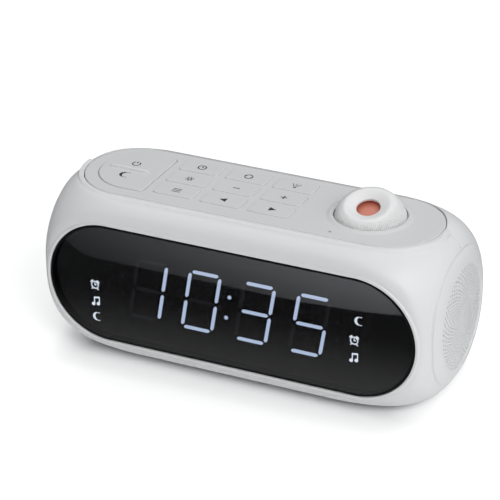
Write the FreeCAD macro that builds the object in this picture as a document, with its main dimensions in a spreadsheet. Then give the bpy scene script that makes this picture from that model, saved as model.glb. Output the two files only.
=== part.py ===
import FreeCAD, Part
import Sketcher
import math
import os

V = FreeCAD.Vector
OVERRUN = 1.0  # how far a cut runs past a face, and a post into the wall that carries it, in mm
doc = FreeCAD.newDocument("ProjectionAlarmClock")

# The driving sizes, in millimetres, degrees or counts; a text starting with = follows from others.
# The origin is under the middle of the clock on the table top: X to the right seen from the
# front, Y to the rear, Z up.
SIZES = [
    # housing: a rounded square section that tapers into the two ends, trimmed by four flats
    ("body_half", 39.7, "half height and half depth of the section before the flats"),
    ("body_corner", 24.3, "corner radius of that section"),
    ("body_mid_y", -2.1, "centre of the section, front to back"),
    ("body_mid_z", 38.3, "centre of the section, height"),
    ("body_straight", 44.63, "half length over which the section does not taper"),
    ("body_taper", 48.8, "length of the full taper curve beyond that"),
    ("taper_power", 4.54, "how square the taper curve is"),
    ("end_roundness", 0.95, "corner radius over half height at the very end"),
    ("end_rise_y", 2.15, "shift of the section's centre to the rear at the end"),
    ("end_drop_z", 0.7, "drop of the section's centre at the end"),
    ("end_plane", 90.2, "half length of the housing, where the side caps sit"),
    ("front_plane", 35.6, "front rim, in front of the origin"),
    ("rear_plane", 35.6, "rear flat, behind the origin"),
    ("top_plane", 75.3, "top rim"),
    ("bottom_plane", 1.0, "underside of the housing"),
    ("wall", 2.4, "housing wall"),
    ("front_wall", 6.0, "thickness of the front round the display window"),
    ("top_wall", 5.2, "thickness of the top round the key panel"),
    ("seam_y", 2.0, "joint plane of the front and rear housing"),
    ("end_hole_half", 26.6, "half size of the opening in each end"),
    ("end_flange", 3.7, "thickness of the inward flange round that opening"),
    # display window and lens
    ("lens_half_straight", 57.33, "half length of the straight part of the lens"),
    ("lens_radius", 27.67, "end radius of the lens"),
    ("lens_mid_z", 36.69, "height of the lens centre"),
    ("lens_recess", 1.6, "lens edge behind the front rim"),
    ("lens_edge", 2.2, "thickness of the lens at its edge"),
    ("lens_crown", 1.3, "how far the middle of the lens bulges"),
    ("lens_gap", 0.15, "gap round the lens"),
    ("lens_ledge", 2.1, "width of the ledge that the lens rests on"),
    # LED display
    ("block_gap", 0.4, "gap between the LED block and its window"),
    ("block_recess", 0.6, "LED block face behind the lens back"),
    ("digit_raise", 0.3, "height of the light bars above the block"),
    ("board_lap", 1.6, "overlap of the display board over the ledge"),
    ("board_thickness", 1.6, "thickness of each circuit board"),
    ("digit_mid_x", -0.93, "centre of the four digits"),
    ("digit_drop", 0.11, "centre of the digits below the lens centre"),
    ("digit_pitch", 25.13, "distance between digits"),
    ("digit_half_width", 6.95, "half distance between left and right bars"),
    ("digit_half_height", 13.6, "half distance between top and bottom bars"),
    ("digit_slant", 9.5, "lean of the digits, degrees"),
    ("bar_width", 1.5, "width of a light bar"),
    ("bar_end_gap", 0.8, "gap at each corner between bars"),
    ("colon_rise", 5.0, "colon dots above and below the middle"),
    ("dot_size", 1.7, "width of a colon dot"),
    ("signal_x", 50.3, "distance of the indicator columns from the digit centre"),
    ("signal_pitch", 8.3, "distance between indicator dots"),
    ("signal_size", 1.2, "width of an indicator dot"),
    # key panel
    ("panel_half_straight", 58.64, "half length of the straight part of the key panel"),
    ("panel_radius", 23.79, "end radius of the key panel"),
    ("panel_mid_y", -0.25, "centre of the key panel, front to back"),
    ("panel_recess", 0.83, "key panel below the top rim"),
    ("panel_thickness", 2.2, "thickness of the key panel"),
    ("panel_gap", 0.25, "groove round the key panel"),
    ("panel_ledge", 2.5, "width of the ledge under the key panel"),
    # keys
    ("key_width", 18.81, "key, left to right"),
    ("key_depth", 10.0, "key, front to back"),
    ("key_pitch_x", 22.33, "distance between key columns"),
    ("key_pitch_y", 12.46, "distance between key rows"),
    ("key_mid_x", -12.68, "middle key"),
    ("key_mid_y", 1.4, "middle key, front to back"),
    ("key_raise", 0.8, "key top above the panel"),
    ("key_corner", 1.3, "corner radius of a key"),
    ("key_edge", 0.45, "rounding of the top edge of a key"),
    ("key_gap", 0.3, "gap round each key"),
    ("key_flange", 0.75, "width of the collar that keeps a key in"),
    ("key_collar", 1.0, "thickness of that collar"),
    ("key_play", 0.1, "gap between collar and panel"),
    ("key_travel", 0.6, "travel of a key"),
    ("press_gap", 0.1, "gap left over a switch when a key is fully down"),
    ("hanger_radius", 1.4, "posts that carry the key board"),
    ("hanger_shift", 2.0, "right posts beyond the right column of keys"),
    ("stem_radius", 1.8, "stem that presses the switch"),
    ("key_board_z", 63.2, "underside of the key board"),
    ("board_margin", 0.5, "key board beyond the crest"),
    ("board_beyond", 2.6, "key board beyond the right posts"),
    ("board_inset", 1.0, "key board inside the outer edges of the keys"),
    ("switch_side", 6.0, "side of a switch"),
    ("switch_height", 3.6, "height of a switch body"),
    ("plunger_radius", 1.6, "switch plunger"),
    ("plunger_height", 0.7, "plunger above the switch body"),
    # snooze rocker
    ("snooze_mid_x", "=-panel_half_straight", "centre of the rocker's round end"),
    ("snooze_radius", 17.6, "radius of the rocker's round end"),
    ("snooze_reach", 10.29, "straight right side of the rocker beyond that centre"),
    ("snooze_edge_radius", 2.0, "rounding of the rocker's two right corners"),
    ("snooze_collar_drop", 1.0, "rocker collar below the panel, room to rock"),
    ("rib_shift", 4.66, "raised rib to the left of that centre"),
    ("rib_x", "=snooze_mid_x - rib_shift", "middle of the raised rib"),
    ("rib_length", 18.5, "length of the raised rib"),
    ("rib_width", 1.6, "width of the raised rib"),
    ("rib_height", 0.7, "height of the raised rib"),
    ("fulcrum_radius", 1.2, "crest that the rocker rocks on"),
    ("fulcrum_gap", 0.2, "gap between crest and rocker"),
    ("fulcrum_length", 14.0, "length of the crest"),
    ("rocker_switch_y", 11.0, "switches in front of and behind the crest"),
    # projector
    ("projector_inset", 9.23, "projector centre from the centre of the panel's round end"),
    ("projector_x", "=panel_half_straight - projector_inset", "projector centre"),
    ("projector_y", 1.75, "projector centre, front to back"),
    ("ball_z", 70.75, "height of the ball centre"),
    ("ball_radius", 15.93, "ball"),
    ("ball_tilt", 17.8, "forward lean in the photo, degrees"),
    ("ball_bottom", 10.0, "flat under the ball, below its centre"),
    ("seat_gap", 0.4, "gap round the ball at the panel"),
    ("lip_width", 2.0, "width of the raised lip round the ball"),
    ("lip_height", 1.0, "height of that lip"),
    ("lip_edge", 0.55, "rounding of that lip's outer edge"),
    ("pivot_radius", 1.3, "pivot pins of the ball"),
    ("pivot_gap", 0.06, "running gap of the pivots"),
    ("pivot_reach", 2.7, "pins beyond the ball"),
    ("ear_gap", 0.5, "gap between the ball and the bearing ears"),
    ("ear_thickness", 2.0, "bearing ears"),
    ("ear_half_width", 4.0, "half width of the ears"),
    ("ear_drop", 3.25, "ears below the pivots"),
    ("ear_inset", 0.2, "ears inside the edge of the ring plate"),
    ("cradle_thickness", 2.0, "ring plate of the cradle"),
    ("ring_bottom", 3.3, "lower edge of the focus ring above the ball centre"),
    ("ring_gap", 0.3, "gap under the focus ring"),
    ("ring_shoulder", 1.7, "plain shoulder above the grooved flank"),
    ("ring_face_radius", 9.86, "outer edge of the dished face"),
    ("ring_face_height", 11.15, "that edge above the ball centre"),
    ("aperture_radius", 5.11, "light aperture"),
    ("aperture_height", 9.45, "edge of the aperture above the ball centre"),
    ("aperture_depth", 0.9, "cylindrical part of the aperture"),
    ("neck_radius", 10.0, "neck that the ring turns on"),
    ("neck_height", 7.2, "top of the neck above the ball centre"),
    ("neck_gap", 0.06, "running gap of the ring"),
    ("rib_count", 60, "grooves round the focus ring"),
    ("groove_width", 0.5, "groove"),
    ("groove_depth", 0.45, "groove"),
    ("barrel_radius", 7.4, "lens barrel"),
    ("barrel_gap", 0.08, "sliding gap of the lens barrel"),
    ("barrel_bottom", 0.5, "bottom of the barrel above the ball centre"),
    ("barrel_height", 6.0, "length of the barrel"),
    ("barrel_bore", 4.6, "bore of the barrel"),
    ("glass_radius", 5.6, "projector lens"),
    ("glass_edge", 1.2, "edge thickness of the projector lens"),
    ("glass_crown", 0.9, "bulge of the projector lens"),
    ("lamp_radius", 2.5, "projector lamp"),
    ("film_side", 8.0, "side of the display film over the lamp"),
    ("film_height", -2.4, "display film above the ball centre"),
    ("film_thickness", 0.8, "display film"),
    ("sensor_shift", 9.71, "pinhole to the left of the projector centre"),
    ("sensor_x", "=projector_x - sensor_shift", "pinhole in the panel"),
    ("sensor_y", -19.46, "pinhole in the panel"),
    ("sensor_radius", 0.75, "pinhole in the panel"),
    ("sensor_depth", 1.2, "pinhole in the panel"),
    # side caps and speaker
    ("cap_mid_y", -0.42, "centre of the grille"),
    ("cap_mid_z", 37.6, "centre of the grille"),
    ("cap_height", 4.0, "bulge of a side cap beyond the housing"),
    ("cap_top_half", 25.1, "half size of the cap at its outer rim"),
    ("cap_roundness", 0.98, "corner radius over half size at that rim"),
    ("cap_gap", 0.2, "gap round the cap's skirt"),
    ("cap_skirt", 4.6, "length of the skirt inside the housing"),
    ("cap_skirt_wall", 1.8, "wall of the skirt"),
    ("grille_radius", 24.2, "recess of the grille"),
    ("grille_recess", 0.9, "depth of that recess"),
    ("grille_thickness", 1.6, "grille plate"),
    ("grille_first", 8.4, "radius of the first ring of holes"),
    ("grille_step", 2.7, "distance between rings of holes"),
    ("grille_rings", 6, "rings of holes"),
    ("grille_count", 36, "holes in each ring"),
    ("hole_length", 1.9, "hole, along the radius"),
    ("hole_width", 1.3, "hole, across the radius"),
    ("speaker_radius", 23.0, "speaker frame"),
    ("speaker_depth", 11.0, "depth of the speaker frame"),
    ("speaker_rim", 1.2, "rim of the speaker frame"),
    ("cone_radius", 19.0, "mouth of the speaker cone"),
    ("voice_radius", 6.0, "bottom of the speaker cone"),
    ("cone_gap", 0.2, "gap round the speaker cone"),
    ("cone_edge", 0.6, "rim of the cone behind the front of the frame"),
    ("cone_play", 0.3, "cone above the floor of the frame"),
    ("cone_wall", 1.0, "middle of the cone"),
    ("magnet_radius", 11.0, "magnet"),
    ("magnet_depth", 6.5, "magnet"),
    # rear: power inlet and backup battery
    ("board_x", 33.0, "middle of the main board"),
    ("board_length", 50.0, "main board, left to right"),
    ("board_front", 5.0, "front edge of the main board"),
    ("board_depth", 26.0, "main board, front to back"),
    ("board_z", 15.4, "underside of the main board"),
    ("post_radius", 2.4, "posts under the main board"),
    ("post_inset", 4.0, "posts from the edge of the board"),
    ("jack_inset", 10.0, "power inlet from the right end of the board"),
    ("jack_width", 9.0, "power inlet body"),
    ("jack_height", 10.0, "power inlet body"),
    ("jack_depth", 11.5, "power inlet body"),
    ("jack_nose", 3.9, "radius of the inlet's nose"),
    ("jack_recess", 0.5, "inlet's nose behind the rear flat"),
    ("jack_gap", 0.2, "gap round the nose"),
    ("jack_bore", 2.75, "radius of the socket"),
    ("jack_pin", 1.0, "radius of the centre pin"),
    ("jack_bore_depth", 9.0, "depth of the socket"),
    ("jack_pin_drop", 0.8, "tip of the pin below the mouth of the socket"),
    ("door_x", -45.0, "battery door"),
    ("door_z", 36.0, "battery door"),
    ("door_length", 34.0, "battery door, left to right"),
    ("door_height", 26.0, "battery door"),
    ("door_thickness", 1.6, "battery door"),
    ("door_corner", 3.0, "corner radius of the door"),
    ("door_gap", 0.3, "gap round the door"),
    ("cell_radius", 10.0, "backup cell"),
    ("cell_thickness", 3.2, "backup cell"),
    ("cell_gap", 0.3, "gap round the cell"),
    ("holder_depth", 6.5, "cell holder"),
    ("peg_radius", 1.4, "pegs of the battery door"),
    ("peg_length", 3.5, "pegs of the battery door"),
    ("peg_gap", 0.05, "gap round a peg"),
    ("peg_room", 0.3, "room beyond the tip of a peg"),
    ("peg_spread", 13.8, "pegs from the middle of the door"),
    ("notch_radius", 4.0, "finger notch under the door"),
    ("door_notch_inset", 1.0, "notch in the door inside that notch"),
    ("door_notch_floor", 0.6, "door left under its notch"),
    # screws and feet
    ("screw_inset", 14.2, "housing screws from the end plane"),
    ("screw_x", "=end_plane - screw_inset", "housing screws"),
    ("screw_low_z", 11.3, "lower housing screws"),
    ("screw_high_z", 62.5, "upper housing screws"),
    ("screw_post", 4.2, "radius of the screw posts"),
    ("screw_well", 3.1, "radius of the well over a screw"),
    ("screw_floor", 3.0, "floor under a screw head"),
    ("screw_seat_y", 9.0, "screw head seat behind the origin"),
    ("screw_radius", 1.45, "screw thread"),
    ("screw_gap", 0.1, "gap round the screw thread"),
    ("screw_length", 16.0, "screw below the head"),
    ("screw_head", 2.8, "radius of the screw head"),
    ("screw_head_height", 1.8, "height of the screw head"),
    ("cross_length", 3.0, "cross slot in a screw head"),
    ("cross_width", 0.6, "cross slot in a screw head"),
    ("cross_depth", 1.0, "cross slot in a screw head"),
    ("foot_radius", 5.5, "rubber foot"),
    ("foot_height", 1.4, "rubber foot"),
    ("foot_gap", 0.1, "gap over and round a foot"),
    ("foot_x", 60.0, "feet from the middle"),
    ("foot_front_y", -19.0, "front feet"),
    ("foot_rear_y", 13.5, "rear feet"),
]

sheet = doc.addObject("Spreadsheet::Sheet", "Sizes")
for row, (alias, value, meaning) in enumerate(SIZES, 1):
    sheet.set("A%d" % row, alias)
    sheet.set("B%d" % row, str(value))
    sheet.setAlias("B%d" % row, alias)
    sheet.set("C%d" % row, meaning)
doc.recompute()


def size(alias):
    """The number in the sheet under this name."""
    return float(sheet.get(alias))


def origin_plane(body, role):
    """One of the body's own three origin planes."""
    for feature in body.Origin.OriginFeatures:
        if feature.Role == role:
            return feature
    raise ValueError(role)


def new_body(label, x="0 mm", y="0 mm", z="0 mm"):
    """A body whose own origin lies at the point that the three expressions give."""
    body = doc.addObject("PartDesign::Body", label)
    body.Label = label
    body.setExpression(".Placement.Base.x", x)
    body.setExpression(".Placement.Base.y", y)
    body.setExpression(".Placement.Base.z", z)
    return body


def new_sketch(body, name, role="XY_Plane", offset=None):
    """A sketch on one of the body's origin planes, moved along its normal by an expression."""
    sketch = body.newObject("Sketcher::SketchObject", name)
    sketch.AttachmentSupport = (origin_plane(body, role), [""])
    sketch.MapMode = "FlatFace"
    if offset:
        sketch.setExpression("AttachmentOffset.Base.z", offset)
    return sketch


def number(holder, expression):
    """The value that an expression has now."""
    return float(holder.evalExpression(expression))


def rule(sketch, kind, places, expression):
    """Add a constraint and bind its value to the sheet."""
    index = sketch.addConstraint(Sketcher.Constraint(kind, *places, number(sketch, expression)))
    sketch.setExpression("Constraints[%d]" % index, expression)


def place_point(sketch, geometry, point, x, y):
    """Bind one point of a sketch to a position."""
    rule(sketch, "DistanceX", (-1, 1, geometry, point), x)
    rule(sketch, "DistanceY", (-1, 1, geometry, point), y)


def draw_circle(sketch, radius, x=None, y=None):
    """A circle, at the origin or at a bound position."""
    centre = V(0, 0, 0) if x is None else V(number(sketch, x), number(sketch, y), 0)
    index = sketch.addGeometry(Part.Circle(centre, V(0, 0, 1), number(sketch, radius)))
    rule(sketch, "Radius", (index,), radius)
    if x is None:
        sketch.addConstraint(Sketcher.Constraint("Coincident", index, 3, -1, 1))
    else:
        place_point(sketch, index, 3, x, y)


def draw_rounded(sketch, width, height, corner):
    """A rectangle with round corners, centred on the sketch's origin."""
    half_w, half_h = number(sketch, width) / 2, number(sketch, height) / 2
    r = number(sketch, corner)
    q_w, q_h = half_w - r, half_h - r
    lines = [(V(-q_w, -half_h), V(q_w, -half_h)), (V(half_w, -q_h), V(half_w, q_h)),
             (V(q_w, half_h), V(-q_w, half_h)), (V(-half_w, q_h), V(-half_w, -q_h))]
    centres = [V(q_w, -q_h), V(q_w, q_h), V(-q_w, q_h), V(-q_w, -q_h)]
    first = [sketch.addGeometry(Part.LineSegment(a, b)) for a, b in lines][0]
    for corner_index, centre in enumerate(centres):
        start = math.radians(-90 + 90 * corner_index)
        circle = Part.Circle(centre, V(0, 0, 1), r)
        sketch.addGeometry(Part.ArcOfCircle(circle, start, start + math.pi / 2))
    for i in range(4):
        line, arc, following = first + i, first + 4 + i, first + (i + 1) % 4
        sketch.addConstraint(Sketcher.Constraint("Tangent", line, 2, arc, 1))
        sketch.addConstraint(Sketcher.Constraint("Tangent", arc, 2, following, 1))
        if i:
            sketch.addConstraint(Sketcher.Constraint("Equal", first + 4, arc))
    sketch.addConstraint(Sketcher.Constraint("Horizontal", first))
    sketch.addConstraint(Sketcher.Constraint("Vertical", first + 1))
    sketch.addConstraint(Sketcher.Constraint("Horizontal", first + 2))
    sketch.addConstraint(Sketcher.Constraint("Symmetric", first, 1, first + 2, 1, -1, 1))
    rule(sketch, "Radius", (first + 4,), corner)
    rule(sketch, "DistanceX", (first + 3, 1, first + 1, 1), width)
    rule(sketch, "DistanceY", (first, 1, first + 2, 1), height)


def draw_stadium(sketch, half_straight, radius):
    """Two half circles joined by straight lines, centred on the sketch's origin."""
    half, r = number(sketch, half_straight), number(sketch, radius)
    right = Part.ArcOfCircle(Part.Circle(V(half, 0, 0), V(0, 0, 1), r), -math.pi / 2, math.pi / 2)
    left = Part.ArcOfCircle(Part.Circle(V(-half, 0, 0), V(0, 0, 1), r), math.pi / 2, 1.5 * math.pi)
    a = sketch.addGeometry(Part.LineSegment(V(-half, -r), V(half, -r)))
    b = sketch.addGeometry(right)
    c = sketch.addGeometry(Part.LineSegment(V(half, r), V(-half, r)))
    d = sketch.addGeometry(left)
    for one, two in ((a, b), (b, c), (c, d), (d, a)):
        sketch.addConstraint(Sketcher.Constraint("Tangent", one, 2, two, 1))
    sketch.addConstraint(Sketcher.Constraint("Equal", b, d))
    sketch.addConstraint(Sketcher.Constraint("Symmetric", b, 3, d, 3, -1, 1))
    sketch.addConstraint(Sketcher.Constraint("PointOnObject", b, 3, -1))
    rule(sketch, "Radius", (b,), radius)
    rule(sketch, "DistanceX", (d, 3, b, 3), "2 * (%s)" % half_straight)


def pad(body, sketch, length, name, downward=False):
    """Add material along the sketch's normal."""
    feature = body.newObject("PartDesign::Pad", name)
    feature.Profile = sketch
    feature.Reversed = downward
    feature.setExpression("Length", length)
    sketch.Visibility = False
    return feature


def pocket(body, sketch, length, name, upward=False):
    """Remove material against the sketch's normal, or along it."""
    doc.recompute()
    before = body.Shape.Volume
    feature = body.newObject("PartDesign::Pocket", name)
    feature.Profile = sketch
    feature.Reversed = upward
    feature.setExpression("Length", length)
    sketch.Visibility = False
    doc.recompute()
    if not feature.Shape.Volume < before - 1e-6:
        raise RuntimeError("%s cuts nothing" % name)
    return feature


def round_top(body, name, radius):
    """Round the body's highest edges."""
    doc.recompute()
    tip = body.Tip
    top = max(e.BoundBox.ZMax for e in tip.Shape.Edges)
    rim = ["Edge%d" % i for i, e in enumerate(tip.Shape.Edges, 1) if e.BoundBox.ZMin > top - 0.01]
    feature = body.newObject("PartDesign::Fillet", name)
    feature.Base = (tip, rim)
    feature.setExpression("Radius", radius)


def shape_piece(label, shape):
    """A piece whose shape is worked out from the sheet."""
    feature = doc.addObject("Part::Feature", label)
    feature.Label = label
    feature.Shape = shape
    return feature


def cylinder(radius, base, direction, length):
    """A round bar from a point along a direction."""
    return Part.makeCylinder(radius, length, base, direction)


def block(x0, x1, y0, y1, z0, z1):
    """A block between limits."""
    return Part.makeBox(x1 - x0, y1 - y0, z1 - z0, V(x0, y0, z0))


def turned(points, centre, axis):
    """A turned piece: the outline holds (radius, height) pairs along the axis through centre."""
    outline = Part.makePolygon([V(r, 0, h) for r, h in points + points[:1]])
    solid = Part.Face(outline).revolve(V(0, 0, 0), V(0, 0, 1), 360)
    solid.Placement = FreeCAD.Placement(centre, FreeCAD.Rotation(V(0, 0, 1), axis))
    return solid


# The housing. The section is a rounded square; towards each end its half height follows a
# superellipse, its corners get rounder and its centre moves a little.
def taper(x, straight, length, power):
    reach = max(0.0, (abs(x) - straight) / length)
    return reach, (1.0 - reach ** power) ** (1.0 / power)


def body_form(x):
    """Half size, corner radius and centre of the section at x."""
    half, corner = size("body_half"), size("body_corner")
    reach, shrink = taper(x, size("body_straight"), size("body_taper"), size("taper_power"))
    start = corner / half
    roundness = start + (size("end_roundness") - start) * reach ** 2
    mid_y = size("body_mid_y") + size("end_rise_y") * reach ** 2
    mid_z = size("body_mid_z") - size("end_drop_z") * reach ** 2
    return half * shrink, half * shrink * roundness, mid_y, mid_z


def inner_form(x):
    """The same section one wall further in, measured square to the skin."""
    half, corner, mid_y, mid_z = body_form(x)
    step = 0.05
    slope = (body_form(x - step)[0] - half) / step
    inset = size("wall") * math.sqrt(1.0 + slope ** 2)
    return half - inset, corner * (half - inset) / half, mid_y, mid_z


def section(x, half, corner, mid_y, mid_z):
    """A closed outline of four arcs and four lines at x."""
    flat = half - corner
    bend = flat + corner * math.sqrt(0.5)
    edges = []
    for sign_a, sign_b in ((1, 1), (-1, 1), (-1, -1), (1, -1)):
        if sign_a * sign_b > 0:
            start, end = (half, flat), (flat, half)
            following = (-flat, half)
        else:
            start, end = (flat, half), (half, flat)
            following = (half, -flat)
        turn = [V(x, mid_y + sign_a * p, mid_z + sign_b * q) for p, q in (start, (bend, bend), end)]
        edges.append(Part.Arc(*turn).toShape())
        leap = V(x, mid_y + sign_a * following[0], mid_z + sign_b * following[1])
        edges.append(Part.makeLine(turn[2], leap))
    return Part.Wire(edges)


def tapered_body(form, stations, ruled):
    """A straight middle and two lofted ends."""
    middle = Part.Face(section(-stations[0], *form(stations[0])))
    middle = middle.extrude(V(2 * stations[0], 0, 0))
    right = Part.makeLoft([section(x, *form(x)) for x in stations], True, ruled)
    left = right.mirror(V(0, 0, 0), V(1, 0, 0))
    return middle.fuse([right, left])


end = size("end_plane")
taper_run = size("body_taper")
stations = [end - taper_run * part for part in (0.70, 0.496, 0.332, 0.209, 0.117, 0.049, 0.0)]
room = 2.0 * size("body_half")
outer = tapered_body(body_form, stations, False)
outer = outer.common(block(-2 * end, 2 * end, -size("front_plane"), size("rear_plane"),
                           size("bottom_plane"), size("top_plane")))
chamber_end = end - size("end_flange")
chamber_stations = [s for s in stations if s < chamber_end - OVERRUN] + [chamber_end]
inner = tapered_body(inner_form, chamber_stations, True)
front_inside = -size("front_plane") + size("front_wall")
rear_inside = size("rear_plane") - size("wall")
floor_z = size("bottom_plane") + size("wall")
ceiling_z = size("top_plane") - size("top_wall")
inner = inner.common(block(-2 * end, 2 * end, front_inside, rear_inside, floor_z, ceiling_z))


def end_outline(half):
    """The outline of the end opening, or of what fits in it, at the end plane."""
    return half, half * size("end_roundness"), size("cap_mid_y"), size("cap_mid_z")


def stadium(half_straight, radius, length):
    """A solid stadium in the XY plane, built upwards."""
    bar = block(-half_straight, half_straight, -radius, radius, 0, length)
    ends = [cylinder(radius, V(x, 0, 0), V(0, 0, 1), length) for x in (-half_straight, half_straight)]
    return bar.fuse(ends).removeSplitter()


def facing_front(solid, y, z):
    """Turn a solid built upwards so that it is built to the front from the plane y."""
    turned_solid = solid.copy()
    turned_solid.Placement = FreeCAD.Placement(V(0, y, z), FreeCAD.Rotation(V(1, 0, 0), 90))
    return turned_solid


lens_face_y = -size("front_plane") + size("lens_recess")
lens_back_y = lens_face_y + size("lens_edge")
lens_seat = facing_front(stadium(size("lens_half_straight"), size("lens_radius") + size("lens_gap"),
                                 room), lens_back_y, size("lens_mid_z"))
window_radius = size("lens_radius") - size("lens_ledge")
window = facing_front(stadium(size("lens_half_straight"), window_radius, room),
                      front_inside + OVERRUN, size("lens_mid_z"))
panel_top_z = size("top_plane") - size("panel_recess")
panel_under_z = panel_top_z - size("panel_thickness")
panel_seat = stadium(size("panel_half_straight"), size("panel_radius") + size("panel_gap"), room)
panel_seat.Placement.Base = V(0, size("panel_mid_y"), panel_under_z)
panel_window = stadium(size("panel_half_straight"), size("panel_radius") - size("panel_ledge"), room)
panel_window.Placement.Base = V(0, size("panel_mid_y"), ceiling_z - OVERRUN)
end_holes = []
for side in (-1, 1):
    hole = Part.Face(section(side * (chamber_end - OVERRUN), *end_outline(size("end_hole_half"))))
    end_holes.append(hole.extrude(V(side * (size("end_flange") + 2 * OVERRUN), 0, 0)))
shell = outer.cut([inner, lens_seat, window, panel_seat, panel_window] + end_holes)

foot_spots = [(sx * size("foot_x"), y) for sx in (-1, 1)
              for y in (size("foot_front_y"), size("foot_rear_y"))]
foot_top_z = size("foot_height") + size("foot_gap")
foot_wells = [cylinder(size("foot_radius") + size("foot_gap"), V(x, y, -OVERRUN), V(0, 0, 1),
                       foot_top_z + OVERRUN) for x, y in foot_spots]
screw_spots = [(sx * size("screw_x"), z) for sx in (-1, 1)
               for z in (size("screw_low_z"), size("screw_high_z"))]
shell = shell.cut(foot_wells)

# Front housing: everything in front of the seam, with its four screw posts.
seam = size("seam_y")
front_shape = shell.common(block(-2 * end, 2 * end, -room, seam, -room, 2 * room))
front_posts = [cylinder(size("screw_post"), V(x, front_inside - OVERRUN, z), V(0, 1, 0),
                        seam - front_inside + OVERRUN) for x, z in screw_spots]
front_shape = front_shape.fuse([post.common(outer) for post in front_posts])
thread_end = size("screw_seat_y") - size("screw_length")
pilots = [cylinder(size("screw_radius") + size("screw_gap"), V(x, thread_end - OVERRUN, z), V(0, 1, 0),
                   room) for x, z in screw_spots]
front_shape = front_shape.cut(pilots)
shape_piece("front_housing", front_shape)

# Rear housing: screw wells, board posts, the power inlet's hole and the battery door's recess.
rear_shape = shell.common(block(-2 * end, 2 * end, seam, room, -room, 2 * room))
rear_posts = [cylinder(size("screw_post"), V(x, seam, z), V(0, 1, 0), rear_inside + OVERRUN - seam)
              for x, z in screw_spots]
board_left = size("board_x") - size("board_length") / 2
board_right = board_left + size("board_length")
board_rear = size("board_front") + size("board_depth")
board_posts = [(x, y) for x in (board_left + size("post_inset"), board_right - size("post_inset"))
               for y in (size("board_front") + size("post_inset"), board_rear - 2 * size("post_inset"))]
rear_posts += [cylinder(size("post_radius"), V(x, y, floor_z - OVERRUN), V(0, 0, 1),
                        size("board_z") - floor_z + OVERRUN) for x, y in board_posts]
rear_shape = rear_shape.fuse([post.common(outer) for post in rear_posts])
head_y = size("screw_seat_y")
wells = [cylinder(size("screw_well"), V(x, head_y, z), V(0, 1, 0), room) for x, z in screw_spots]
jack_z = size("board_z") + size("board_thickness") + size("jack_height") / 2
jack_x = board_right - size("jack_inset")
jack_hole = cylinder(size("jack_nose") + size("jack_gap"), V(jack_x, rear_inside - OVERRUN, jack_z),
                     V(0, 1, 0), room)


def rounded_plate(length, height, corner, thickness):
    """A plate with round corners in the XY plane, built upwards, centred."""
    plate = block(-length / 2, length / 2, -height / 2, height / 2, 0, thickness)
    upright = [e for e in plate.Edges if abs(e.Vertexes[0].Z - e.Vertexes[1].Z) > thickness / 2]
    return plate.makeFillet(corner, upright)


def facing_rear(solid, x, y, z):
    """Turn a solid built upwards so that it is built to the rear from the plane y."""
    turned_solid = solid.copy()
    turned_solid.Placement = FreeCAD.Placement(V(x, y, z), FreeCAD.Rotation(V(1, 0, 0), -90))
    return turned_solid


door_y = size("rear_plane") - size("door_thickness")
door_recess = rounded_plate(size("door_length") + 2 * size("door_gap"),
                            size("door_height") + 2 * size("door_gap"),
                            size("door_corner") + size("door_gap"), room)
door_recess = facing_rear(door_recess, size("door_x"), door_y, size("door_z"))
cell_hole = cylinder(size("cell_radius") + size("cell_gap"), V(size("door_x"), rear_inside - OVERRUN,
                                                             size("door_z")), V(0, 1, 0), room)
peg_spots = [(size("door_x") + s * size("peg_spread"), size("door_z")) for s in (-1, 1)]
peg_holes = [cylinder(size("peg_radius") + size("peg_gap"), V(x, rear_inside - OVERRUN, z), V(0, 1, 0),
                      room) for x, z in peg_spots]
notch_z = size("door_z") - size("door_height") / 2
notch = cylinder(size("notch_radius"), V(size("door_x"), door_y, notch_z), V(0, 1, 0), room)
rear_shape = rear_shape.cut(wells + pilots + [jack_hole, door_recess, cell_hole, notch] + peg_holes)
shape_piece("rear_housing", rear_shape)


# Side caps: a shallow dome that carries on the housing's taper, with a recessed round field.
def cap_form(part):
    """Section of the cap, part way from the end plane to its outer rim."""
    half, corner, mid_y, mid_z = body_form(end)
    drop = half - size("cap_top_half")
    here = half - drop * (1.0 - math.sqrt(1.0 - part ** 2))
    roundness = corner / half + (size("cap_roundness") - corner / half) * part
    return here, here * roundness, mid_y, mid_z


def cap_shape():
    """The right cap without its holes."""
    rise = size("cap_height")
    parts = (0.0, 0.45, 0.8, 1.0)
    dome = Part.makeLoft([section(end + rise * p, *cap_form(p)) for p in parts], True, False)
    skirt = Part.Face(section(end, *end_outline(size("end_hole_half") - size("cap_gap"))))
    skirt = skirt.extrude(V(-size("cap_skirt"), 0, 0))
    hollow_half = size("end_hole_half") - size("cap_gap") - size("cap_skirt_wall")
    hollow = Part.Face(section(end, *end_outline(hollow_half)))
    hollow = hollow.extrude(V(-size("cap_skirt") - OVERRUN, 0, 0))
    solid = dome.fuse(skirt).cut(hollow)
    middle = V(grille_face_x, size("cap_mid_y"), size("cap_mid_z"))
    field = cylinder(size("grille_radius"), middle, V(1, 0, 0), room)
    behind = cylinder(size("speaker_radius") + size("cap_gap"),
                      V(end - OVERRUN, size("cap_mid_y"), size("cap_mid_z")), V(1, 0, 0),
                      grille_face_x - size("grille_thickness") - end + OVERRUN)
    return solid.cut([field, behind]).removeSplitter()


grille_face_x = end + size("cap_height") - size("grille_recess")
plain_cap = cap_shape()
shape_piece("left_side_cap", plain_cap.mirror(V(0, 0, 0), V(1, 0, 0)))

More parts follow.
